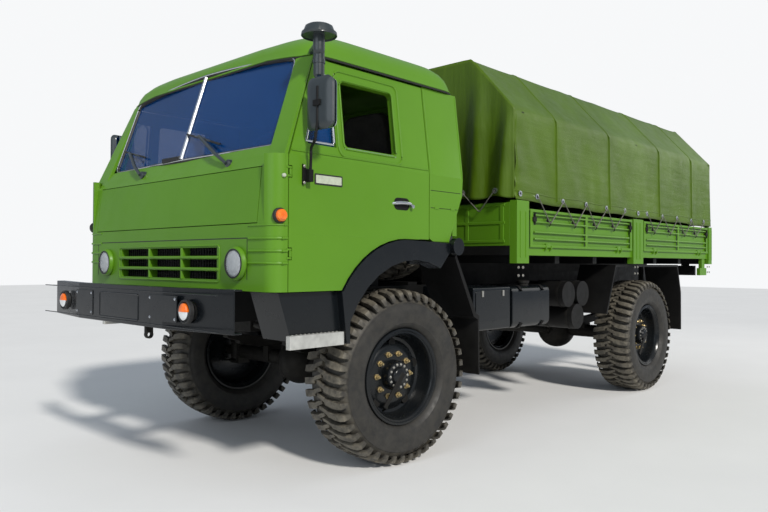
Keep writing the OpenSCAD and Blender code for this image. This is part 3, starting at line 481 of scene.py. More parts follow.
def make_tyre(name, body, place, slot="tyre", stands_for=()):
    """A tyre: the carcass and its blocks, dustier towards the tread."""
    carcass, share = tyre_body()
    blocks = tread()
    shape = join(carcass, blocks)
    radius = np.hypot(shape[0][:, 1], shape[0][:, 2])
    dusty = np.concatenate([np.repeat(share, len(carcass[0]) // len(share)), np.full(len(blocks[0]), 0.35)])
    dusty = dusty + 0.4 * (radius > 0.6)
    return piece(name, body, "rubber", place(shape), slot=slot, stands_for=stands_for, share=dusty,
                 sharp=26)


RIM = [(0.150, 0.352), (0.168, 0.345), (0.170, 0.330), (0.160, 0.322), (0.162, 0.312), (0.150, 0.302),
       (0.120, 0.296), (0.060, 0.290), (0.032, 0.275), (0.024, 0.255), (0.034, 0.235), (0.052, 0.215),
       (0.056, 0.19), (0.056, 0.106)]
HUB = [(0.05, 0.112), (0.100, 0.106), (0.118, 0.104), (0.124, 0.098), (0.124, 0.066), (0.140, 0.060),
       (0.148, 0.05), (0.148, 0.0)]
RIM_BACK = [(0.0, 0.106), (0.0, 0.23), (-0.03, 0.285), (-0.14, 0.300), (-0.152, 0.318), (-0.168, 0.33),
            (-0.168, 0.345), (-0.150, 0.352)]


def ring_places(count, radius, x, start=0.0):
    """Places round a circle about the wheel's axis."""
    angle = start + np.arange(count) * 2 * math.pi / count
    return np.stack([np.full(count, x), radius * np.cos(angle), radius * np.sin(angle)], -1)


def make_wheel(name, body, place, slot="black_steel", stands_for=()):
    """The rim with its lock ring and dished disc, the hub, its nuts and the arm of the tyre's air line."""
    rim = lathe(RIM + RIM_BACK, (0, 0, 0), sides=72, closed=True)
    hub = lathe([(0.04, 0.0)] + HUB, (0, 0, 0), sides=40)
    holes = [lathe([(-0.002, 0), (-0.002, 0.03), (0.003, 0.034), (0.003, 0)], p, sides=16)
             for p in ring_places(5, 0.235, 0.040, 0.3)]
    piece(name + "_rim", body, "black paint", place(join(rim, hub)), slot=slot, stands_for=stands_for,
          sharp=40)
    nuts = bolt_heads(ring_places(10, 0.158, 0.055), 0.0155, 0.03, 0)
    studs = [lathe([(0, 0), (0, 0.008), (0.014, 0.008), (0.016, 0.0)], p, sides=10)
             for p in ring_places(10, 0.158, 0.083)]
    piece(name + "_nuts", body, "brass", place(join(nuts, *studs)), slot=slot)
    caps = bolt_heads(ring_places(14, 0.083, 0.123), 0.007, 0.008, 0)
    piece(name + "_hub_bolts", body, "steel", place(caps), slot=slot)
    bar = plate([(0.03, 0.035), (-0.012, 0.03), (-0.02, -0.26), (0.012, -0.262)], (0.138, 0.15),
                lambda a, b, c: (c + 0.0 * a, a, b))
    bar = moved(bar, matrix=turn(-0.62, 0))
    valve = tube([(0.144, 0.015, -0.245), (0.12, 0.02, -0.262), (0.1, 0.03, -0.272)], 0.009)
    valve = moved(valve, matrix=turn(-0.62, 0))
    piece(name + "_air_line", body, "chassis paint", place(join(bar, valve, *holes)), slot=slot, bevel=0.003)


def road_wheel_place(name, left):
    """A wheel's place: its axle's middle, its outer side away from the truck and its parked turn."""
    low, high = BOX[name + "_tyre"]
    spin = next(j for j in frame["joints"] if j["child"] == body_of(name + "_wheel"))
    axis = np.array(spin["axis"], float)
    angle = math.atan2(axis[1], axis[0]) if axis[0] > 0 else math.atan2(-axis[1], -axis[0])
    matrix = turn(angle + (0 if left else math.pi))
    return lambda shape: moved(shape, (low + high) / 2, matrix)


def make_road_wheels():
    """The four road wheels, each on the body that its CAD wheel rides on."""
    for end in ("front", "rear"):
        for side, word in SIDES:
            name = f"{end}_{word}"
            place = road_wheel_place(name, side > 0)
            body = body_of(name + "_wheel")
            make_tyre(name + "_tyre_tread", body, place, stands_for=(name + "_tyre",))
            make_wheel(name + "_wheel", body, place, stands_for=(name + "_wheel",))


def make_spare():
    """The spare wheel, standing across the truck behind the cab."""
    low, high = BOX["spare_wheel"]
    place = lambda shape: moved(shape, (low + high) / 2, turn(-math.pi / 2))
    make_tyre("spare_tyre_tread", "chassis", place, stands_for=("spare_wheel",))
    make_wheel("spare_wheel", "chassis", place, slot="tyre")


# Canvas


def spread(line, count):
    """Points at even steps along a line of straight stretches, by its arc length."""
    line = np.array(line, float)
    run = np.concatenate([[0], np.cumsum(np.linalg.norm(np.diff(line, axis=0), axis=1))])
    at = np.linspace(0, run[-1], count)
    return np.stack([np.interp(at, run, line[:, k]) for k in range(line.shape[1])], -1)


def eased(points, reach):
    """Points averaged with their neighbours, which rounds the corners and keeps the ends."""
    weights = np.hanning(2 * reach + 3)[1:-1]
    padded = np.concatenate([np.repeat(points[:1], reach, 0), points, np.repeat(points[-1:], reach, 0)])
    soft = np.stack([np.convolve(padded[:, k], weights / weights.sum(), "valid")
                     for k in range(points.shape[1])], -1)
    blend = np.clip(np.minimum(np.arange(len(points)), np.arange(len(points))[::-1]) / reach, 0, 1)[:, None]
    return points * (1 - blend) + soft * blend


def area_of(points):
    """The area of a grid of points: half the cross product of each quad's diagonals."""
    first = points[1:, 1:] - points[:-1, :-1]
    second = points[1:, :-1] - points[:-1, 1:]
    return float(np.linalg.norm(np.cross(first, second), axis=-1).sum() / 2)


CANOPY = BOX["canopy"]
CANOPY_OUT = CANOPY[1][0] - 0.006
EAVE_HALF = 1.250
RIDGE_HALF = 0.794
EAVE_Z = 2.77
RIDGE_Z = CANOPY[1][2] - 0.006


def hem_height(y):
    """The side's lower edge: it falls towards the rear, and lifts a little between the eyelets."""
    share = (y - CANOPY[0][1]) / (CANOPY[1][1] - CANOPY[0][1])
    return 2.0 - 0.055 * np.sqrt(np.clip(share, 0, 1)) + 0.006 * np.sin(share * 34)


def canopy_section(count=121):
    """Half a turn over the bows: hem, eave, ridge, ridge, eave, hem, with its corners rounded."""
    side = [(CANOPY_OUT, 2.0), (EAVE_HALF, EAVE_Z), (RIDGE_HALF, RIDGE_Z)]
    line = side + [(-x, z) for x, z in side[::-1]]
    return eased(spread(line, count), 2)


def canopy_points(rows=150):
    """The main sheet [along, over]: the section carried back over the bows.

    It sags between two bows, has folds at its front end and ripples low on its sides.
    """
    section = canopy_section()
    y = np.linspace(CANOPY[0][1] + 0.004, CANOPY[1][1] - 0.004, rows)[:, None]
    x, z = (np.broadcast_to(section[:, k], (rows, len(section))).copy() for k in (0, 1))
    length = y[-1] - y[0]
    along = (y - y[0]) / length
    sag = np.sin(math.pi * (along * 6 % 1)) ** 2
    high = np.clip((z - EAVE_Z) / (RIDGE_Z - EAVE_Z), 0, 1)
    down = np.clip((EAVE_Z - z) / (EAVE_Z - 2.0), 0, 1)
    z -= 0.016 * sag * (high > 0.02) * np.abs(np.sin(math.pi * np.clip(high, 0,
                                                                       1))) + 0.012 * sag * (high > 0.98)
    side = np.sign(x)
    x -= side * 0.012 * sag * np.sin(math.pi * down)
    near = np.exp(-along * length / 0.16)
    crush = np.sin(z * 27 + 2.2 * np.sin(z * 9)) * near * down
    x += side * (0.013 * crush - 0.012 * near * down)
    slant = np.sin((along * length * 1.0 - 0.45 * down) * 21) * np.exp(-along * length / 0.9)
    x += side * 0.004 * slant * np.sin(math.pi * down)
    ripple = np.sin(along * 75 + 3 * np.sin(along * 21)) * 0.003 + np.sin(along * 31 + 1.7) * 0.004
    x += side * ripple * down ** 2
    x = np.clip(x, -CANOPY[1][0] - 0.012, CANOPY[1][0] + 0.012)
    z = np.where(z < EAVE_Z, EAVE_Z + (z - EAVE_Z) * (EAVE_Z - hem_height(y)) / (EAVE_Z - 2.0), z)
    return np.stack([x, np.broadcast_to(y, x.shape), z], -1)


def wall_points(y, depth, direction, hem, columns=141, rows=50):
    """An end wall [down, across]: it hangs from the roof's edge in folds that deepen as they fall."""
    x = np.linspace(-EAVE_HALF, EAVE_HALF, columns)[None]
    top = np.where(np.abs(x) < RIDGE_HALF, RIDGE_Z,
                   RIDGE_Z + (EAVE_Z - RIDGE_Z) * (np.abs(x) - RIDGE_HALF) / (EAVE_HALF - RIDGE_HALF))
    down = np.linspace(0, 1, rows)[:, None]
    bottom = hem + 0.012 * np.cos(x * 18)
    z = top + (bottom - top) * down
    edge = np.clip((EAVE_HALF - np.abs(x)) / 0.05, 0, 1)
    phase = x * 17.0 + 1.1 * np.sin(x * 5 + down * 1.4) + 0.5 * down
    fold = (0.5 + 0.5 * np.sin(phase)) ** 2 * (0.3 + 0.7 * np.clip(np.abs(x) / 0.8, 0, 1))
    y = y + direction * (0.004 + depth * fold * np.clip(down * 2.2, 0, 1) ** 0.8 * edge)
    x = x + 0.010 * np.sin(phase * 1.3) * down * edge
    return np.stack([np.broadcast_to(x, z.shape), y, z], -1)


def cloth(name, points, held, rests_on, stands_for=()):
    """A sheet of canvas over a grid of points, its weave laid along the grid."""
    rows, columns = points.shape[:2]
    across = np.linalg.norm(np.diff(points, axis=1), axis=-1).sum(1).mean()
    along = np.linalg.norm(np.diff(points, axis=0), axis=-1).sum(0).max()
    uv = np.stack(np.meshgrid(np.linspace(0, along, rows), np.linspace(0, across, columns),
                              indexing="ij"), -1)
    made = piece(name, "chassis", "canvas", grid(points), slot="tarpaulin", stands_for=stands_for, sharp=80,
                 shell=0.0025, uv=uv)
    area = area_of(points)
    across = max(across, area / along * 1.002)
    return made


EYELETS = (0.06, 0.33, 0.78, 1.23, 1.66, 2.09, 2.42, 2.65, 3.08, 3.52, 3.98, 4.42)
HOOKS = (0.52, 0.98, 1.40, 1.80, 2.81, 3.27, 3.71, 4.09)


def eyelet_places():
    """The eyelets along the left side, a hand's width over the hem."""
    y = BED_FRONT + np.array(EYELETS)
    return np.stack([np.full(len(y), CANOPY_OUT + 0.004), y, hem_height(y) + 0.05], -1)


def make_canopy():
    """The tarpaulin's main sheet, its front wall and the rear curtain."""
    points = canopy_points()
    cloth("canopy_sheet", points, "stretched", ["canopy_bows_shape"], ("canopy",))
    front = wall_points(CANOPY[0][1] + 0.01, 0.055, -1, 2.02)
    cloth("canopy_front_sheet", front, "hung", ["canopy_bows_shape"])
    rear = wall_points(BOX["rear_curtain"][0][1] + 0.004, 0.016, 1, 1.955)
    cloth("rear_curtain_sheet", rear[:, ::-1], "hung", ["canopy_bows_shape"], ("rear_curtain",))
    band = points[:, 1:4].copy()
    seams = []
    for index in (22, 56, 96, 128):
        line = points[index, 1:-1] + [0, 0.0, 0.0]
        outward = line - [0, line[0][1], 2.4]
        outward /= np.linalg.norm(outward, axis=1, keepdims=True)
        seams.append(tube(line + outward * 0.002, 0.007, 6, flat=1.6))
    hem = band[:, 1] + np.array([0.001, 0, 0.0])
    seams += [tube(hem, 0.006, 6), tube(hem * [-1, 1, 1], 0.006, 6)]
    piece("canopy_seams", "chassis", "canvas", *seams, slot="tarpaulin", sharp=80, uv=None)


def eyelet(place, axis):
    """A pressed ring with a rolled edge."""
    return lathe([(-0.002, 0.011), (0.003, 0.012), (0.0045, 0.018), (0.003, 0.025), (-0.002, 0.026)],
                 place, axis, 20)


def make_lacing():
    """Eyelets, the hooks on the boards and the rope between them, zigzag in each bay."""
    rings = eyelet_places()
    front = [np.array([x, CANOPY[0][1] - 0.035, 2.075]) for x in (0.35, 0.741, 1.086)]
    eyelets = mirrored(join(*[eyelet(place, 0) for place in rings]))
    front_eyelets = mirrored(join(*[eyelet(place - [0, 0.012, 0], 1) for place in front]))
    piece("canopy_eyelets", "chassis", "bright trim", eyelets, front_eyelets, slot="tarpaulin")
    outer = BOX["left_front_board"][1][0] - 0.004
    hooks = [np.array([outer, BED_FRONT + y, 1.815]) for y in HOOKS]
    ropes = []
    for bay in (slice(1, 6), slice(7, 12)):
        line = []
        eyes = rings[bay]
        for k, hook in enumerate(hooks[:4] if bay.start == 1 else hooks[4:]):
            line += [eyes[k] + [0.012, 0, 0], hook + [0.022, 0, -0.012]]
        line.append(eyes[4] + [0.012, 0, 0])
        ropes.append(tube(spread(line, 81), LOOK.rope, 6))
    low = np.array([0.9, BOX["headboard"][0][1] - 0.03, 1.90])
    ropes.append(tube(spread([front[1] - [0, 0.02, 0], low, front[2] - [0, 0.02, 0]], 31), LOOK.rope, 6))
    piece("canopy_rope", "chassis", "rope", mirrored(join(*ropes)), slot="tarpaulin")
    for bay, word in ((hooks[:4], "front"), (hooks[4:], "rear")):
        for side, name in SIDES:
            shapes = [tube([p + [-0.006, 0, 0.02], p + [0.014, 0, 0.018], p + [0.022, 0, 0.0],
                            p + [0.022, 0, -0.02], p + [0.014, 0, -0.03],
                            p + [0.006, 0, -0.026]], 0.0045, 8) for p in bay]
            plates = [block(p + [-0.007, -0.014, 0.0], p + [0.002, 0.014, 0.04]) for p in bay]
            both = join(*shapes, *plates)
            flip = for_side(both, side)
            piece(f"{name}_{word}_board_hooks", body_of(f"{name}_{word}_board"), "chassis paint", flip)


# Cab

SCREEN_LOW, SCREEN_HIGH = 2.173, 2.764
SCREEN_ARCH = 0.062
SCREEN_HALF = (1.073, 1.036)


def screen_place(x, z, proud=0.0):
    """A point of the windscreen's two panes: they lean back, and each turns away from the middle."""
    x, z = np.asarray(x, float), np.asarray(z, float)
    y = CAB_FRONT + 0.132 + 0.033 * np.abs(x) + math.tan(math.radians(17.9)) * (z - SCREEN_LOW)
    return np.stack([x, y - proud, z + 0.3 * proud], -1)


def screen_outline(inset, steps=9):
    """The windscreen's outline (x, z): round corners, sides that lean in and a top edge that arches."""
    low, high = SCREEN_LOW + inset, SCREEN_HIGH - inset
    lean = (SCREEN_HALF[0] - SCREEN_HALF[1]) / (SCREEN_HIGH - SCREEN_LOW)
    turned = np.linspace(0, math.pi / 2, steps)
    foot = SCREEN_HALF[0] - inset
    lower = np.stack([foot - 0.06 + 0.06 * np.sin(turned), low + 0.06 - 0.06 * np.cos(turned)], -1)
    head = foot - lean * (high - low)
    upper = np.stack([head - 0.05 + 0.05 * np.cos(turned), high - 0.05 + 0.05 * np.sin(turned)], -1)
    across = np.linspace(head - 0.1, 0.0, 12)
    top = np.stack([across, high + SCREEN_ARCH * (1 - (across / head) ** 2)], -1)
    base = np.stack([np.linspace(0.03, foot - 0.1, 8), np.full(8, low)], -1)
    right = np.vstack([base, lower, upper, top])
    return np.vstack([right, right[::-1][1:] * [-1, 1]])


def make_windscreen():
    """The windscreen's rubber seal, the bright strip in it, the middle post and the scuttle vent."""
    outline = screen_outline(0.0)
    seal = screen_place(outline[:, 0], outline[:, 1], 0.007)
    piece("windscreen_seal", "cab", "black rubber", tube(seal, 0.017, 8, closed=True), slot="trim")
    trim = screen_place(outline[:, 0], outline[:, 1], 0.021)
    piece("windscreen_trim", "cab", "bright trim", tube(trim, 0.0055, 8, closed=True), slot="trim")
    z = np.linspace(SCREEN_LOW + 0.01, SCREEN_HIGH + SCREEN_ARCH - 0.01, 12)
    divider = screen_place(np.zeros(12), z, 0.014)
    cover = tube(divider, 0.016, 8, flat=1.0)
    piece("windscreen_divider", "cab", "bright trim", cover, slot="trim")
    corner = screen_place(-0.13, SCREEN_LOW + 0.015, 0.025)
    piece("windscreen_vent", "cab", "black rubber", block(corner - [0.12, 0.012, 0.018],
                                                          corner + [0.12, 0.012, 0.018]),
          slot="trim", bevel=0.008)


WIPERS = (((-0.474, 2.118), (-0.847, 2.309), (-1.003, 2.347), (-0.584, 2.256)),
          ((0.677, 2.098), (0.216, 2.316), (0.003, 2.367), (0.465, 2.242)))


def make_wipers():
    """Two wipers: a spindle, a bent arm up to the blade and the blade along the glass."""
    shapes, blades = [], []
    for pivot, middle, left, right in WIPERS:
        foot = np.array([pivot[0], CAB_FRONT + 0.085, pivot[1] - 0.01])
        shapes.append(lathe([(-0.01, 0.03), (0.025, 0.028), (0.032, 0.018), (0.034, 0.0)], foot, 1, 16, -1))
        elbow = foot + [0, -0.035, 0]
        hand = screen_place(*middle, 0.05)
        bend = elbow + (hand - elbow) * 0.35 + [0, -0.012, 0.0]
        shapes.append(tube([elbow, bend, hand], 0.011, 8, flat=1.3))
        low, high = screen_place(*right, 0.026), screen_place(*left, 0.026)
        blades.append(tube(spread([low, high], 9), 0.008, 6))
        shapes.append(tube([low * 0.75 + high * 0.25, hand, low * 0.25 + high * 0.75], 0.006, 6))
    piece("wiper_arms", "cab", "grey plastic", *shapes, slot="trim")
    piece("wiper_blades", "cab", "black rubber", *blades, slot="trim")


ROOF = BOX["cab_roof"]
# Inset from the gutter at the sides, the front and the rear, and the height over it
ROOF_STEPS = np.array([
    [0.000, 0.000, 0.000, 0.000], [-0.010, -0.010, -0.010, 0.010], [0.000, 0.000, 0.000, 0.024],
    [0.008, 0.006, 0.004, 0.060],
    [0.022, 0.026, 0.010, 0.100], [0.055, 0.070, 0.022, 0.146], [0.110, 0.145, 0.050, 0.190],
    [0.200, 0.250, 0.110, 0.225],
    [0.340, 0.370, 0.220, 0.250], [0.560, 0.500, 0.360, 0.264], [0.800, 0.600, 0.500, 0.269],
    [1.000, 0.690, 0.620, 0.270],
])


def rounded_ring(half, front, rear, corner, count=96):
    """A ring of points: a rectangle whose corners are cut by a superellipse of that exponent."""
    t = np.linspace(0, 2 * math.pi, count, endpoint=False) + math.pi / count
    x = half * np.sign(np.cos(t)) * np.abs(np.cos(t)) ** (2 / corner)
    reach = (rear - front) / 2
    y = (front + rear) / 2 + reach * np.sign(np.sin(t)) * np.abs(np.sin(t)) ** (2 / corner)
    return x, y


def make_roof():
    """The roof panel: rings that draw in as they rise, its front lip arched over the windscreen."""
    low, high = ROOF
    rings = []
    for side, front, rear, rise in ROOF_STEPS:
        x, y = rounded_ring(high[0] - side, low[1] + front + 0.004, high[1] - rear - 0.004,
                            15 - 9 * rise / 0.27)
        arch = SCREEN_ARCH * np.clip(1 - (x / 1.08) ** 2, 0, 1) * np.clip((low[1] + 0.4 - y) / 0.35, 0, 1)
        rings.append(np.stack([x, y, low[2] + 0.001 + rise + arch * (1 - rise / 0.27)], -1))
    shell = grid(np.array(rings), around=True)
    lid = list(range(len(shell[0]) - 96, len(shell[0])))
    piece("cab_roof_skin", "cab", "green paint", (shell[0], shell[1] + [lid]), stands_for=("cab_roof",),
          sharp=50, shell=0.022)
    x, y = rounded_ring(high[0] + 0.002, low[1] + 0.002, high[1] - 0.002, 15)
    arch = SCREEN_ARCH * np.clip(1 - (x / 1.08) ** 2, 0, 1) * np.clip((low[1] + 0.4 - y) / 0.35, 0, 1)
    gutter = np.stack([x, y, np.full(96, low[2]) + 0.002 + arch], -1)
    piece("roof_gutter_seal", "cab", "black rubber", tube(gutter, 0.007, 6, closed=True), slot="trim")


def corner_line(z, start, stop, radius=0.1, out=0.0):
    """A line round the cab's front corner: along the front, a quarter circle, then the side."""
    half = BOX["cab_sides"][1][0]
    turned = np.linspace(0, math.pi / 2, 9)
    arc = np.stack([half - radius + (radius + out) * np.sin(turned),
                    CAB_FRONT + radius - (radius + out) * np.cos(turned)], -1)
    line = np.vstack([[start, CAB_FRONT - out], arc, [half + out, CAB_FRONT + stop]])
    return np.column_stack([line, np.full(len(line), z)])


def make_front_panels():
    """Pressed beads, the frame round the grille and its bars."""
    beads = [tube(corner_line(z, 1.0, 0.06), 0.0085, 8) for z in (1.593, 1.517, 1.443)]
    lip = [tube(corner_line(z, 1.0, 0.075), 0.006, 8) for z in (1.672,)]
    piece("corner_beads", "cab", "green paint", mirrored(join(*beads, *lip)))
    bars = [block((-0.68, CAB_FRONT - 0.010, z - 0.011), (0.68, CAB_FRONT + 0.012, z + 0.011))
            for z in (1.4, 1.478)]
    bars += [block((x - 0.012, CAB_FRONT - 0.007, 1.328), (x + 0.012, CAB_FRONT + 0.02, 1.548))
             for x in (-0.2235, 0.2235)]
    piece("grille_bars", "cab", "green paint", *bars, bevel=0.008)
    outline = rounded(1.37, 0.235, 0.02, 4) + [0, 1.438]
    rim = np.column_stack([outline[:, 0], np.full(len(outline), CAB_FRONT - 0.001), outline[:, 1]])
    piece("grille_surround", "cab", "green paint", tube(rim, 0.006, 8, closed=True))
    face = CAB_FRONT - 0.0008
    seams = [block((-1.06, face, 1.594), (0.985, face + 0.004, 1.600))]
    seams += [block((x - 0.003, face, 1.34), (x + 0.003, face + 0.004, 1.597)) for x in (-1.057, 0.985)]
    piece("front_panel_seams", "cab", "black rubber", *seams, slot="trim")
    mesh_bars = [block((x - 0.004, CAB_FRONT + 0.05, 1.33), (x + 0.004, CAB_FRONT + 0.056, 1.545))
                 for x in steps_between(-0.64, 0.64, 41)]
    mesh_bars += [block((-0.66, CAB_FRONT + 0.056, z - 0.004), (0.66, CAB_FRONT + 0.062, z + 0.004))
                  for z in steps_between(1.35, 1.53, 7)]
    piece("grille_mesh", "cab", "cast iron", *mesh_bars, slot="black_steel")


HEADLAMP = (0.885, 1.44)
FRONT_LAMP = (0.86, 1.155)
REAR_LENS_HEIGHT = 1.365
INDICATOR_HEIGHT = 1.728
STOP_HEIGHT = 1.968
HANDLE_HEIGHT = 1.862
SEAM_HEIGHTS = (1.984, 1.856)


def make_headlamps():
    """A bowl, a fluted lens and a painted bezel on each side."""
    for side, word in SIDES:
        centre = (side * HEADLAMP[0], CAB_FRONT, HEADLAMP[1])
        bowl = lathe([(0.0, 0.0), (0.0, 0.088), (0.03, 0.09), (0.03, 0.094), (-0.02, 0.094),
                      (-0.028, 0.0)][::-1], centre, 1, 40, -1)
        piece(f"{word}_headlamp_bowl", "cab", "reflector", bowl, slot="lamp_glass",
              stands_for=("headlamps",))
        r = np.linspace(0.0, 0.086, 15)
        dome = 0.014 + 0.032 * np.sqrt(np.clip(1 - (r / 0.1) ** 2, 0, 1))
        lens = lathe(np.vstack([np.stack([dome, r], -1), [(0.0, 0.088), (0.0, 0.0)]]), centre, 1, 48, -1)
        piece(f"{word}_headlamp_lens", "cab", "lens glass", lens, slot="lamp_glass")
        flutes = [block((centre[0] + x - 0.002, CAB_FRONT - 0.03, HEADLAMP[1] - h),
                        (centre[0] + x + 0.002, CAB_FRONT - 0.012, HEADLAMP[1] + h))
                  for x in steps_between(-0.065, 0.065, 11) for h in [0.95 * math.sqrt(0.078 ** 2 - x * x)]]
        piece(f"{word}_headlamp_flutes", "cab", "reflector", *flutes, slot="lamp_glass")
        bezel = [(-0.01, 0.098), (0.012, 0.106), (0.030, 0.100), (0.034, 0.092), (0.028, 0.086),
                 (-0.01, 0.086)]
        piece(f"{word}_headlamp_bezel", "cab", "green paint", lathe(bezel, centre, 1, 48, -1, closed=True))
        seal = lathe([(0.02, 0.084), (0.036, 0.084), (0.036, 0.0925), (0.02, 0.0925)], centre, 1, 48, -1,
                     closed=True)
        piece(f"{word}_headlamp_seal", "cab", "black rubber", seal, slot="trim")


def make_indicators():
    """Round amber lamps on the corners and the small rubber stops beside the doors."""
    half = BOX["cab_sides"][1][0]
    y = CAB_FRONT + 0.052
    base = lathe([(-0.01, 0.0), (-0.01, 0.046), (0.010, 0.046), (0.014, 0.042), (0.014, 0.0)],
                 (half - 0.014, y, INDICATOR_HEIGHT), 0, 32)
    lens = lathe([(0.0, 0.0), (0.0, 0.038), (0.018, 0.036), (0.030, 0.026), (0.035, 0.0)],
                 (half - 0.002, y, INDICATOR_HEIGHT), 0, 32)
    knob = lathe([(-0.005, 0.0), (-0.005, 0.012), (0.008, 0.012), (0.014, 0.007), (0.015, 0.0)],
                 (half, CAB_FRONT + 0.072, STOP_HEIGHT), 0, 16)
    piece("indicator_bases", "cab", "black rubber", mirrored(base), slot="trim")
    piece("indicator_lenses", "cab", "amber", mirrored(lens), slot="amber_lens")
    piece("door_stop_knobs", "cab", "pale plate", mirrored(knob), slot="trim")


DOOR = BOX["left_door"]
LEAN = 0.08 / 0.65


def on_side(z, proud=0.0):
    """How far out the cab's side is at a height: upright to the belt, then leaning in."""
    return BOX["cab_sides"][1][0] - 0.001 - LEAN * np.clip(np.asarray(z, float) - 2.13, 0, None) + proud


def side_line(points, radius, finish_out=0.0, flat=1.0, closed=False, count=40):
    """A bead along (y, z) points on the cab's side."""
    line = spread(list(points) + ([points[0]] if closed else []), count)
    line = line[:-1] if closed else line
    return tube(np.column_stack([on_side(line[:, 1], finish_out), line]), radius, 8, flat, closed)


def window_outline(y0, y1, z0, z1, radius, slope=0.0):
    """A window (y, z): a rounded rectangle that leans by a slope."""
    outline = rounded(y1 - y0, z1 - z0, radius, 4) + [(y0 + y1) / 2, (z0 + z1) / 2]
    outline[:, 0] += slope * (z1 - outline[:, 1])
    return outline


def for_side(shape, side):
    """A left side's shape, or its mirror image for the right side."""
    return shape if side > 0 else (shape[0] * [-1, 1, 1], [face[::-1] for face in shape[1]])


def make_door_trim():
    """Each door's window beads, creases, bright seals, handle in its cup and blank plate."""
    y0 = AXLE_Y
    for side, word in SIDES:
        door = f"{word}_door"
        main = window_outline(y0 - 0.675, y0 - 0.17, 2.185, 2.645, 0.03)
        outer = window_outline(y0 - 0.72, y0 - 0.115, 2.135, 2.70, 0.05)
        vent = [(y0 - 0.99, 2.20), (y0 - 0.755, 2.20), (y0 - 0.755, 2.60), (y0 - 0.80, 2.66),
                (y0 - 0.86, 2.60)]
        beads = join(side_line(main, 0.006, -0.002, closed=True, count=90),
                     side_line(outer, 0.008, -0.003, closed=True, count=90))
        crease = side_line([(DOOR[0][1] + 0.02, 2.128), (DOOR[1][1] - 0.01, 2.128)], 0.004, -0.001)
        low = side_line([(DOOR[0][1] + 0.02, 1.62), (y0 + 0.07, 1.62)], 0.003, -0.0015)
        piece(f"{door}_pressings", door, "green paint", for_side(join(beads, crease, low), side))
        seals = join(side_line(vent, 0.008, -0.006, closed=True, count=60),
                     side_line([(y0 - 0.665, 2.188), (y0 - 0.18, 2.188)], 0.006, -0.004))
        piece(f"{door}_window_seals", door, "bright trim", for_side(seals, side), slot="trim")
        handle = tube(np.column_stack([DOOR_FACE + np.array([-0.012, 0.012, 0.022, 0.024, 0.022, 0.010,
                                                             -0.012]),
                                       y0 + np.array([-0.215, -0.205, -0.17, -0.12, -0.07, -0.04, -0.03]),
                                       HANDLE_HEIGHT + np.array([0, 0.002, 0.006, 0.008, 0.006, 0.002,
                                                                 0])]), 0.011, 10, flat=0.8)
        button = lathe([(-0.005, 0), (-0.005, 0.014), (0.012, 0.013), (0.014, 0)],
                       (DOOR_FACE + 0.016, y0 - 0.035, HANDLE_HEIGHT - 0.014), 0, 16)
        piece(f"{door}_handle", door, "bright trim", for_side(join(handle, button), side), slot="trim")
        cup = plate(rounded(0.16, 0.085, 0.035) + [y0 - 0.125, HANDLE_HEIGHT], (0.0, 0.0015),
                    facing_left(DOOR_FACE - 0.003))
        piece(f"{door}_handle_cup", door, "chassis paint", for_side(cup, side), slot="trim")
        strip = plate(rounded(0.215, 0.05, 0.004, 3) + [y0 - 0.815, 1.968], (0.0, 0.004),
                      facing_left(DOOR_FACE - 0.002))
        frame_strip = plate(rounded(0.235, 0.068, 0.006, 3) + [y0 - 0.815, 1.968], (0.0, 0.002),
                            facing_left(DOOR_FACE - 0.002))
        piece(f"{door}_plate", door, "pale plate", for_side(strip, side), slot="trim")
        piece(f"{door}_plate_frame", door, "black rubber", for_side(frame_strip, side), slot="trim")


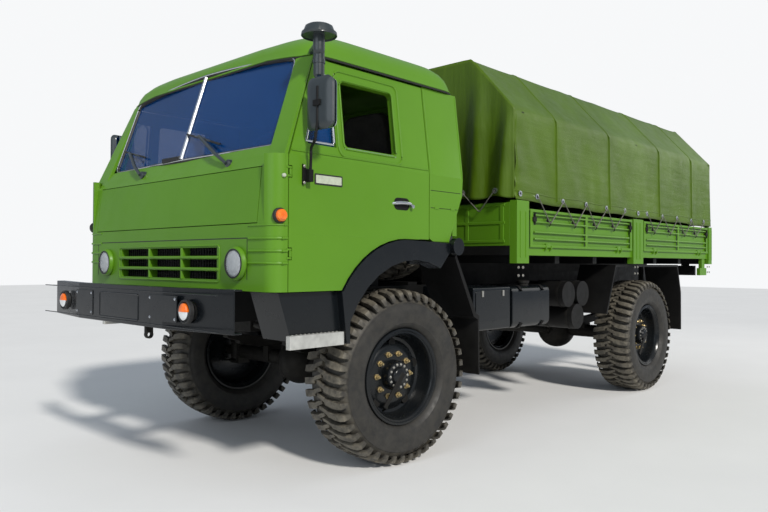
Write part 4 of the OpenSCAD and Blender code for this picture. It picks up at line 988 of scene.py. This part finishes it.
def make_mirrors():
    """Each mirror's head, glass, arm and three-bolted foot, placed in the box of its CAD piece."""
    for side, word in SIDES:
        low, high = BOX[f"{word}_mirror"]
        body = body_of(f"{word}_mirror")
        folded = side < 0
        foot = np.array([side * DOOR_FACE, AXLE_Y - 1.0, 1.985])
        if folded:
            middle = np.array([low[0] + 0.05, low[1] + 0.14, high[2] - 0.17])
            matrix = turn(math.radians(-78))
        else:
            middle = np.array([high[0] - 0.115, (low[1] + high[1]) / 2 - 0.012, high[2] - 0.17])
            matrix = np.eye(3)
        depth = [(-0.022, 0.03), (0.0, 0.006), (0.03, 0.0), (0.042, 0.02), (0.046, 0.055)]
        rings = []
        for y, inset in depth:
            outline = rounded(0.222 - 2 * inset, 0.318 - 2 * inset, 0.045 - 0.3 * inset, 6)
            rings.append(np.column_stack([outline[:, 0], np.full(len(outline), -y), outline[:, 1]]))
        head = moved(loft(np.array(rings)[::-1]), middle, matrix)
        piece(f"{word}_mirror_head", body, "grey plastic", head, slot="trim",
              stands_for=(f"{word}_mirror",), sharp=70)
        glass = plate(rounded(0.19, 0.29, 0.035), (0.0, 0.003), lambda a, b, c: (a, 0.022 + c, b))
        piece(f"{word}_mirror_glass", body, "mirror glass", moved(glass, middle, matrix), slot="glass")
        clamp = middle + np.array([0, -0.045, 0]) @ matrix
        rod = [foot + [side * 0.035, 0, -0.03], foot + [side * 0.04, 0, 0.06],
               foot + [side * 0.055, -0.01, 0.16],
               [clamp[0] - side * 0.02 * (not folded), clamp[1], middle[2] - 0.22],
               [clamp[0], clamp[1], middle[2] - 0.12],
               [clamp[0], clamp[1], middle[2] + 0.10]]
        band = moved(block((-0.03, -0.014, -0.018), (0.03, 0.016, 0.018)),
                     [clamp[0], clamp[1], middle[2]], matrix)
        tri = plate([(-0.035, 0.065), (0.0, 0.03), (0.035, 0.0), (0.0, -0.03), (-0.035, -0.065)],
                    (0.0, 0.012), lambda a, b, c: (c, a, b))
        tri = moved(for_side(tri, side), foot)
        lug = block(foot + [0, -0.016, -0.045], foot + [side * 0.05, 0.016, 0.03])
        piece(f"{word}_mirror_arm", body, "chassis paint", tube(spread(rod, 40), 0.0095, 8), band, lug,
              tri, slot="trim", bevel=0.003)
        bolts = bolt_heads([foot + [side * 0.012, y, z] for y,
                            z in ((-0.026, 0.05), (-0.026, -0.05), (0.02, 0.0))],
                           0.007, 0.008, 0, side)
        piece(f"{word}_mirror_bolts", body, "steel", bolts, slot="trim")


def make_intake():
    """The intake's upright pipe under its hood, with a band, and the hood's turned brim."""
    low, high = BOX["snorkel"]
    reach = (high[1] - low[1]) / 2
    middle = np.array([high[0] - reach, (low[1] + high[1]) / 2, 0.0])
    foot = BOX["left_mirror"][1][2] + 0.012
    pipe = lathe([(foot, 0.0), (foot, 0.030), (foot + 0.006, 0.034), (high[2] - 0.05, 0.034),
                  (high[2] - 0.05, 0.0)], middle, 2, 32)
    band = [(2.66, 0.0335), (2.66, 0.038), (2.685, 0.038), (2.685, 0.0335)]
    rim = high[2] - 0.055
    brim = [(rim - 0.012, reach - 0.004), (rim - 0.008, reach), (rim + 0.012, reach - 0.003),
            (rim + 0.012, reach - 0.02)]
    shapes = [pipe] + [lathe(profile, middle, 2, 40, closed=True) for profile in (band, brim)]
    piece("intake_pipe", "cab", "grey plastic", *shapes, slot="green_paint")


def make_quarter_trim():
    """Seams and the hinged flap's line on the panels behind the doors."""
    y0, y1 = DOOR[1][1] + 0.015, BOX["cab_sides"][1][1]
    high, low = SEAM_HEIGHTS
    seams = join(side_line([(y0, high), (y1 - 0.03, high)], 0.0035, -0.0015),
                 side_line([(y0, low), (y1 - 0.06, low)], 0.0035, -0.0015))
    face = on_side(low)
    hinges = [block((face - 0.002, y0 + d, low - 0.01), (face + 0.005, y0 + d + 0.05, low + 0.01))
              for d in (0.05, 0.24)]
    piece("quarter_panel_seams", "cab", "chassis paint", mirrored(seams), slot="trim")
    piece("quarter_panel_hinges", "cab", "green paint", mirrored(join(*hinges)), bevel=0.003)
    edge = side_line([(y0, 1.64), (y0, 2.13), (y0 - 0.004, 2.74)], 0.006, -0.003)
    rear = side_line([(y1 - 0.17, 1.62), (y1 - 0.012, 2.0), (y1 - 0.006, 2.13), (y1 - 0.006, 2.74)],
                     0.007, -0.004)
    piece("quarter_panel_edges", "cab", "green paint", mirrored(join(edge, rear)))


# Bumper, bed and underbody

BUMPER_FACE = BOX["front_bumper"][0][1]


def make_bumper_details():
    """The round lamps with their rims, riveted plates, the framed middle panel and the face's creases."""
    for side, word in SIDES:
        centre = (side * FRONT_LAMP[0], BUMPER_FACE, FRONT_LAMP[1])
        rim = [(-0.005, 0.052), (0.006, 0.060), (0.010, 0.066), (0.004, 0.072), (-0.02, 0.072)]
        rim = lathe(rim, centre, 1, 40, -1, closed=True)
        piece(f"{word}_front_lamp_rim", "chassis", "black rubber", rim, slot="trim")
        r = np.linspace(0.0, 0.05, 9)
        dome = 0.004 + 0.022 * np.sqrt(np.clip(1 - (r / 0.054) ** 2, 0, 1))
        points, faces = lathe(np.vstack([np.stack([dome, r], -1), [(-0.004, 0.05), (-0.004, 0.0)]]),
                              centre, 1, 40, -1)
        heights = [np.mean([points[k][2] for k in face]) for face in faces]
        amber = [face for face, z in zip(faces, heights) if z > centre[2]]
        clear = [face for face, z in zip(faces, heights) if z <= centre[2]]
        piece(f"{word}_front_lamp_amber", "chassis", "amber", (points, amber), slot="amber_lens")
        piece(f"{word}_front_lamp_clear", "chassis", "reflector", (points, clear), slot="lamp_glass")
    plates, rivets = [], []
    for x0, x1, z0, z1 in ((-0.637, -0.366, 1.070, 1.245), (0.433, 0.774, 1.083, 1.245)):
        middle = [(x0 + x1) / 2, (z0 + z1) / 2]
        plates.append(plate(rounded(x1 - x0, z1 - z0, 0.008) + middle, (-0.002, 0.0045),
                            facing_front(BUMPER_FACE)))
        rivets += [(x, BUMPER_FACE - 0.0045, z) for x in (x0 + 0.02, x1 - 0.02)
                   for z in (z0 + 0.02, z1 - 0.02)]
    piece("bumper_plates", "chassis", "black paint", *plates, slot="black_steel", bevel=0.0015)
    piece("bumper_rivets", "chassis", "bright trim", bolt_heads(rivets, 0.006, 0.005, 1, -1, 10),
          slot="trim")
    lip = rounded(0.55, 0.165, 0.012, 4) + [0.0175, 1.154]
    edge = tube(np.column_stack([lip[:, 0], np.full(len(lip), BUMPER_FACE), lip[:, 1]]), 0.005, 8,
                closed=True)
    field = plate(rounded(0.54, 0.155, 0.012) + [0.0175, 1.154], (-0.002, 0.0012), facing_front(BUMPER_FACE))
    piece("bumper_panel_lip", "chassis", "black paint", edge, slot="black_steel")
    piece("bumper_panel", "chassis", "black paint", field, slot="black_steel")
    x1, y1 = BOX["front_bumper"][1][0] - 0.012, BUMPER_FACE - 0.001
    crease = [tube([(-x1, y1, z), (x1, y1, z)], 0.0035, 8) for z in (1.262, 1.058)]
    piece("bumper_creases", "chassis", "black paint", *crease, slot="black_steel")


BOARD_FACE = BOX["left_front_board"][1][0]


def make_board_details():
    """Two rows of pressed beads, stiles at the ends and the middle, rails along the top and bottom, a groove
    and latches on each drop side.
    """
    for side, word in SIDES:
        for end in ("front", "rear"):
            board = f"{word}_{end}_board"
            low, high = BOX[board]
            y0, y1, z0, z1 = low[1] + 0.02, high[1] - 0.02, low[2], high[2]
            face = BOARD_FACE - 0.008
            shapes = []
            for z in (z0 + 0.075, z0 + 0.135, z0 + 0.225, z0 + 0.285):
                shapes.append(tube([(face, y0 + 0.07, z), (face, y1 - 0.07, z)], 0.009, 8))
            for y in (y0 + 0.025, y1 - 0.025, (y0 + y1) / 2):
                shapes.append(block((face - 0.004, y - 0.022, z0 + 0.012),
                                    (face + 0.006, y + 0.022, z1 - 0.008)))
            for z in (z0 + 0.012, z1 - 0.014):
                shapes.append(block((face - 0.004, y0, z - 0.012), (face + 0.007, y1, z + 0.012)))
            piece(f"{board}_pressings", board, "green paint", for_side(join(*shapes), side), bevel=0.003)
            groove = block((face - 0.001, y0 + 0.05, z1 - 0.06), (face + 0.003, y1 - 0.05, z1 - 0.048))
            piece(f"{board}_groove", board, "chassis paint", for_side(groove, side), slot="trim")
            latch = [block((face - 0.002, y - 0.028, z1 - 0.11), (face + 0.02, y + 0.028, z1 - 0.07))
                     for y in (y0 + 0.06, y1 - 0.06)]
            rods = [tube([(face + 0.014, y, z1 - 0.14), (face + 0.016, y, z1 - 0.03)], 0.008, 8)
                    for y in (y0 + 0.06, y1 - 0.06)]
            piece(f"{board}_latches", board, "cast iron", for_side(join(*latch, *rods), side),
                  slot="black_steel", bevel=0.003)


def make_bed_details():
    """Bolts and webs on the posts, ribs on the headboard and the tailgate, and seams on the deck."""
    bolts, webs = [], []
    low, high = BOX["bed_side_frames"]
    out = high[0]
    for y in (low[1] + 0.1, 1.505, high[1] - 0.06):
        bolts += [(out - 0.03, y + d, z) for d in (-0.035, 0.035) for z in (1.345, 1.415)]
        webs.append(block((out - 0.012, y - 0.05, 1.50), (out + 0.002, y - 0.036, 1.90)))
        webs.append(block((out - 0.012, y + 0.036, 1.50), (out + 0.002, y + 0.05, 1.90)))
    piece("post_bolts", "chassis", "steel", mirrored(bolt_heads(bolts, 0.009, 0.01, 0)), slot="trim")
    piece("post_webs", "chassis", "green paint", mirrored(join(*webs)), bevel=0.003)
    y = BED_FRONT
    ribs = [block((x - 0.018, y - 0.006, 1.64), (x + 0.018, y + 0.004, 1.95))
            for x in steps_between(-1.12, 1.12, 7)]
    ribs += [block((-1.15, y - 0.007, z - 0.012), (1.15, y + 0.004, z + 0.012)) for z in (1.64, 1.8, 1.955)]
    piece("headboard_ribs", "chassis", "green paint", *ribs, bevel=0.003)
    gate = BOX["tailgate"][1][1]
    bars = [block((-1.15, gate - 0.008, z - 0.012), (1.15, gate + 0.004, z + 0.012))
            for z in (1.66, 1.76, 1.86)]
    bars += [block((x - 0.018, gate - 0.008, 1.62), (x + 0.018, gate + 0.005, 1.9))
             for x in (-1.1, -0.55, 0.0, 0.55, 1.1)]
    piece("tailgate_ribs", "tailgate", "green paint", *bars, bevel=0.003)
    planks = [block((x - 0.003, -0.845, 1.6065), (x + 0.003, 3.67, 1.6085))
              for x in steps_between(-1.05, 1.05, 15)]
    piece("deck_seams", "chassis", "chassis paint", *planks, slot="black_steel")


def make_underbody_details():
    """Straps and a filler on the tanks, the battery box's lid, dished ends and bands on the air tanks."""
    straps, caps = [], []
    low, high = BOX["fuel_tanks"]
    for y in (low[1] + 0.13, high[1] - 0.13):
        outline = rounded(0.36, high[2] - low[2] + 0.006, 0.05) + [high[0] - 0.177, (low[2] + high[2]) / 2]
        outline = outline[outline[:, 0] > high[0] - 0.33]
        straps.append(tube(np.column_stack([outline[:, 0], np.full(len(outline), y), outline[:, 1]]),
                           0.006, 6, flat=3.0, closed=False))
    caps.append(lathe([(-0.01, 0.05), (0.022, 0.05), (0.03, 0.058), (0.048, 0.058), (0.054, 0.04),
                       (0.054, 0.0)],
                      (high[0] - 0.09, low[1] + 0.3, high[2] - 0.006), 2, 28))
    piece("tank_straps", "chassis", "chassis paint", mirrored(join(*straps)), slot="black_steel")
    piece("tank_caps", "chassis", "cast iron", mirrored(join(*caps)), slot="black_steel")
    low, high = BOX["side_boxes"]
    face = high[0] - 0.001
    lid = plate(rounded(high[1] - low[1] - 0.06, 0.26, 0.02) + [(low[1] + high[1]) / 2, 1.09],
                (-0.002, 0.007), facing_left(face))
    clasps = [block((face, y - 0.012, 1.17), (face + 0.014, y + 0.012, 1.22))
              for y in (low[1] + 0.12, high[1] - 0.12)]
    piece("box_lids", "chassis", "black paint", mirrored(lid), slot="black_steel", bevel=0.004)
    piece("box_clasps", "chassis", "steel", mirrored(join(*clasps)), slot="trim", bevel=0.002)
    low, high = BOX["air_tanks"]
    ends, bands = [], []
    for y, z, r in AIR_TANKS:
        turned = np.linspace(0, math.pi / 2, 8)
        profile = np.stack([-0.03 + 0.045 * np.sin(turned), r * np.cos(turned) ** 0.6], -1)
        ends.append(lathe(np.vstack([[(-0.05, r)], profile[:-1], [(0.016, 0.0)]]),
                          (high[0] - 0.014, y, z), 0, 32))
        for x in (high[0] - 0.08, high[0] - 0.32):
            bands.append(lathe([(0.0, r - 0.01), (0.0, r + 0.005), (0.026, r + 0.005),
                                (0.026, r - 0.01)], (x, y, z), 0, 32,
                               closed=True))
    piece("air_tank_ends", "chassis", "chassis paint", *ends, slot="black_steel")
    piece("air_tank_bands", "chassis", "cast iron", *bands, slot="black_steel")


def make_rear_lamps():
    """Three round lenses, amber, red and clear, on each rear lamp's housing."""
    face = BOX["marker_lamps"][1][1]
    for x, finish, slot in ((0.865, "reflector", "lamp_glass"), (0.95, "red lens", "amber_lens"),
                            (1.035, "amber", "amber_lens")):
        lens = lathe([(-0.003, 0.0), (-0.003, 0.037), (0.006, 0.036), (0.014, 0.026), (0.017, 0.0)],
                     (x, face, REAR_LENS_HEIGHT), 1, 28)
        piece(f"rear_lenses_{finish.split()[0]}", "chassis", finish, mirrored(lens), slot=slot)


AIR_TANKS = ((0.23, 1.15, 0.125), (0.515, 1.15, 0.125), (0.41, 0.925, 0.125))


def make_step_details():
    """Raised studs in rows on the two treads."""
    low, high = BOX["cab_steps"]
    studs = []
    for x in steps_between(high[0] - 0.15, high[0] - 0.03, 4):
        for y in steps_between(low[1] + 0.04, high[1] - 0.04, 12):
            studs.append(lathe([(0.0, 0.011), (0.004, 0.008), (0.004, 0.004), (0.001, 0.003)],
                               (x, y, high[2] - 0.001), 2, 8))
    piece("step_studs", "cab", "steel", mirrored(join(*studs)), slot="tread_plate")


def make_seats():
    """Padded cushions and backs with a soft crown; the driver's seat and a double bench."""
    floor = BOX["seats"][0][2]
    for name, middle, half in (("driver", 0.62, 0.25), ("crew", -0.48, 0.43)):
        cushion = pad((2 * half, 0.50, 0.15), (middle, -2.36, 1.99))
        back = pad((2 * half - 0.03, 0.62, 0.12), (middle, -2.03, 2.31), turn(math.radians(-80), 0))
        box = block((middle - half + 0.03, -2.56, floor), (middle + half - 0.03, -2.13, 1.93))
        soft = piece(f"{name}_seat_pads", "cab", "seat cloth", cushion, back, slot="seat_cover", sharp=60)
        piece(f"{name}_seat_base", "cab", "cab lining", box, slot="black_steel", bevel=0.02,
              stands_for=("seats",))


def pad(size, centre, matrix=None, steps=15):
    """A cushion: a block whose faces swell as a superellipse, its edges round and its corners drawn in."""
    u = np.linspace(-1, 1, steps)
    shapes = []
    for axis in range(3):
        for side in (-1, 1):
            a, b = np.meshgrid(u, u, indexing="ij")
            face = np.zeros((steps, steps, 3))
            face[..., axis] = side
            face[..., (axis + 1) % 3] = a
            face[..., (axis + 2) % 3] = b
            norm = (np.abs(face) ** 6).sum(-1, keepdims=True) ** (1 / 6)
            shapes.append(grid(face / norm * np.array(size) / 2))
    points, faces = join(*shapes)
    return moved((points, faces), centre, matrix)


NODE_LOOKS = {
    "green paint": ("cab_front", "cab_sides", "cab_rear_wall", "front_hatch", "left_door", "right_door",
                    "bed_side_frames", "headboard", "tailgate", "left_front_board", "left_rear_board",
                    "right_front_board", "right_rear_board"),
    "black paint": ("front_bumper", "cab_wings", "fuel_tanks", "side_boxes"),
    "chassis paint": ("frame_rails", "crossmembers", "arch_guards", "rear_mudguards", "spare_carrier",
                      "bed_floor", "marker_lamps",
                      "canopy_bows", "air_tanks"),
    "cast iron": ("powertrain", "propeller_shafts", "front_axle", "rear_axle", "leaf_springs",
                  "left_knuckle", "right_knuckle", "tow_fittings"),
    "step plate": ("cab_steps",),
    "glass": ("cab_glass", "left_door_glass", "right_door_glass"),
    "cab lining": ("cab_floor", "dashboard", "steering_wheel"),
    "grey plastic": ("snorkel",),
}
SOFTENED = {"front_bumper": 0.006, "fuel_tanks": 0.012, "side_boxes": 0.008, "powertrain": 0.02,
            "dashboard": 0.02, "cab_front": 0.005, "cab_wings": 0.025, "rear_mudguards": 0.01}


def dress_cad():
    """Every CAD piece that is carried over: merged, softened and finished."""
    for finish, nodes in NODE_LOOKS.items():
        for node in nodes:
            width = 0.0 if finish == "glass" else SOFTENED.get(node, 0.004)
            dress(node, finish, width)


# Stage


def make_stage():
    """A pale floor, a pale sky seen by the camera, soft lamps and the camera."""
    scene = bpy.context.scene
    world = bpy.data.worlds.new("plain_sky")
    scene.world = world
    world.use_nodes = True
    tree = world.node_tree
    tree.nodes.clear()
    ray = add(tree, "LightPath")
    seen = add(tree, "Math", {0: ray.outputs["Is Camera Ray"], 1: ray.outputs["Is Transmission Ray"]},
               operation="MAXIMUM")
    lit = add(tree, "Background", {"Color": (0.78, 0.87, 1.0, 1.0), "Strength": 0.42})
    pale = add(tree, "Background", {"Color": (0.93, 0.94, 0.95, 1.0), "Strength": 1.0})
    both = add(tree, "MixShader", {0: seen.outputs[0], 1: lit.outputs[0], 2: pale.outputs[0]})
    out = add(tree, "OutputWorld")
    tree.links.new(both.outputs[0], out.inputs["Surface"])
    floor = surface("pale floor", (0.78, 0.78, 0.77), 0.7, vary=0.02, scale=0.6, grain=14, bump=0.0,
                    gloss=0.1)
    mesh = bpy.data.meshes.new("floor")
    points, faces = grid(np.array([[(x, y, 0.0) for y in (-40, 40)] for x in (-40, 40)], float))
    mesh.from_pydata(points.tolist(), [], faces)
    mesh.materials.append(floor)
    ground = bpy.data.objects.new("floor", mesh)
    scene.collection.objects.link(ground)
    lamps = (("sun_side", "SUN", (9, -3, 8), LOOK.sun, (1.0, 0.96, 0.9), 6.0),
             ("front_fill", "AREA", (1.5, -9, 4.5), LOOK.fill, (0.85, 0.92, 1.0), 5.0),
             ("rear_rim", "AREA", (4, 9, 5.5), LOOK.fill * 0.8, (1.0, 0.97, 0.92), 5.0))
    for name, kind, place, power, colour, size in lamps:
        lamp = bpy.data.lights.new(name, kind)
        lamp.energy = power
        lamp.color = colour
        if kind == "SUN":
            lamp.angle = math.radians(size)
        else:
            lamp.size = size
        made = bpy.data.objects.new(name, lamp)
        scene.collection.objects.link(made)
        made.location = place
        aim = Vector((0.0, 0.0, 1.4)) - Vector(place)
        made.rotation_euler = aim.to_track_quat("-Z", "Y").to_euler()
    scene.view_settings.view_transform = "Standard"
    make_camera()


def make_camera():
    """The camera, aimed by a heading, a pitch and a roll."""
    heading, pitch, roll = (math.radians(v) for v in (43.55, 0.53, 0.29))
    ahead = np.array([-math.sin(heading) * math.cos(pitch), math.cos(heading) * math.cos(pitch),
                      math.sin(pitch)])
    right = np.array([math.cos(heading), math.sin(heading), 0.0])
    up = np.cross(right, ahead)
    rolled = right * math.cos(roll) + up * math.sin(roll)
    upright = up * math.cos(roll) - right * math.sin(roll)
    rows = np.stack([rolled, upright, -ahead], 1)
    data = bpy.data.cameras.new("camera")
    data.sensor_width, data.lens = 36.0, LOOK.lens
    eye = bpy.data.objects.new("camera", data)
    bpy.context.scene.collection.objects.link(eye)
    place = Matrix(rows.tolist()).to_4x4()
    place.translation = (4.562, -6.005, 1.451)
    eye.matrix_world = place
    bpy.context.scene.camera = eye


# Add-on


class TruckLook(bpy.types.PropertyGroup):
    """The colours, the sizes of repeated fittings and the stage's settings."""

    green: FloatVectorProperty(name="Paint", description="Colour of the cab and bed", subtype="COLOR",
                               size=3,
                               default=(0.088, 0.225, 0.009), min=0, max=1)
    canvas: FloatVectorProperty(name="Tarpaulin", description="Colour of the canopy", subtype="COLOR",
                                size=3,
                                default=(0.062, 0.118, 0.003), min=0, max=1)
    # The window colour's blue is a painted sky reflection, over a faint real tint of the glass.
    glass: FloatVectorProperty(name="Glass", description="Tint of the windows", subtype="COLOR", size=3,
                               default=(0.004, 0.05, 0.19), min=0, max=1)
    dust: FloatVectorProperty(name="Dust", description="Colour of road dust", subtype="COLOR", size=3,
                              default=(0.19, 0.17, 0.13), min=0, max=1)
    lugs: IntProperty(name="Tread blocks", description="Blocks round each side of a tyre", default=44,
                      min=12, max=90)
    rope: FloatProperty(name="Rope", description="Radius of the lacing rope", default=0.0048, min=0.002,
                        precision=4, unit="LENGTH")
    sun: FloatProperty(name="Key lamp", description="Strength of the key lamp", default=3.2, min=0)
    fill: FloatProperty(name="Fill lamps", description="Power of the fill lamps", default=110.0, min=0,
                        unit="POWER")
    lens: FloatProperty(name="Lens", description="Focal length of the camera in millimetres",
                        default=32.97, min=10,
                        unit="CAMERA")


class TRUCK_OT_wheels(bpy.types.Operator):
    """Builds the four road wheels and the spare: carcass rings, lugs, rim, hub and nuts"""

    bl_idname = "truck.wheels"
    bl_label = "Wheels"

    def execute(self, context):
        """Builds the wheels and the spare."""
        make_road_wheels()
        make_spare()
        return {"FINISHED"}


class TRUCK_OT_canopy(bpy.types.Operator):
    """Builds the tarpaulin, its eyelets and the rope laced over the hooks"""

    bl_idname = "truck.canopy"
    bl_label = "Canopy"

    def execute(self, context):
        """Builds the sheets and their ropes."""
        make_canopy()
        make_lacing()
        return {"FINISHED"}


class TRUCK_OT_cab(bpy.types.Operator):
    """Builds the cab's roof, windscreen trim, wipers, lamps, door trim, mirrors and seats"""

    bl_idname = "truck.cab"
    bl_label = "Cab"

    def execute(self, context):
        """Builds the fittings on the cab and inside it."""
        for build in (make_windscreen, make_wipers, make_roof, make_front_panels, make_headlamps,
                      make_indicators, make_door_trim, make_mirrors, make_intake, make_quarter_trim,
                      make_step_details, make_seats):
            build()
        return {"FINISHED"}


class TRUCK_OT_body(bpy.types.Operator):
    """Dresses the carried-over pieces and builds the bumper's, bed's and underbody's details"""

    bl_idname = "truck.body"
    bl_label = "Body and chassis"

    def execute(self, context):
        """Gives the CAD shapes their finishes and builds the small parts on them."""
        dress_cad()
        for build in (make_bumper_details, make_board_details, make_bed_details, make_rear_lamps,
                      make_underbody_details):
            build()
        return {"FINISHED"}


class TRUCK_OT_stage(bpy.types.Operator):
    """Builds the floor, the sky, the lamps and the camera"""

    bl_idname = "truck.stage"
    bl_label = "Stage"

    def execute(self, context):
        """Builds the ground, the lights and the camera."""
        make_stage()
        return {"FINISHED"}


class TRUCK_PT_panel(bpy.types.Panel):
    """Lists the pieces and the settings"""

    bl_idname = "TRUCK_PT_panel"
    bl_label = "Cargo truck"
    bl_space_type = "VIEW_3D"
    bl_region_type = "UI"
    bl_category = "Truck"

    def draw(self, context):
        """Lists the settings and the operators."""
        look = context.scene.truck_look
        for name in ("green", "canvas", "glass", "dust", "lugs", "rope", "sun", "fill", "lens"):
            self.layout.prop(look, name)
        for operator in OPERATORS:
            self.layout.operator(operator.bl_idname)


OPERATORS = (TRUCK_OT_body, TRUCK_OT_cab, TRUCK_OT_canopy, TRUCK_OT_wheels, TRUCK_OT_stage)
CLASSES = (TruckLook, *OPERATORS, TRUCK_PT_panel)


def register():
    """Makes the classes and the settings known."""
    for cls in CLASSES:
        bpy.utils.register_class(cls)
    bpy.types.Scene.truck_look = PointerProperty(type=TruckLook)


def unregister():
    """Takes the settings and the classes away again."""
    del bpy.types.Scene.truck_look
    for cls in reversed(CLASSES):
        bpy.utils.unregister_class(cls)


def main():
    """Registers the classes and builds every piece."""
    global LOOK
    register()
    LOOK = bpy.context.scene.truck_look
    FINISH.update(make_materials())
    bpy.ops.truck.body()
    bpy.ops.truck.cab()
    bpy.ops.truck.canopy()
    bpy.ops.truck.wheels()
    bpy.ops.truck.stage()
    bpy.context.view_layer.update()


if __name__ == "__main__":
    main()
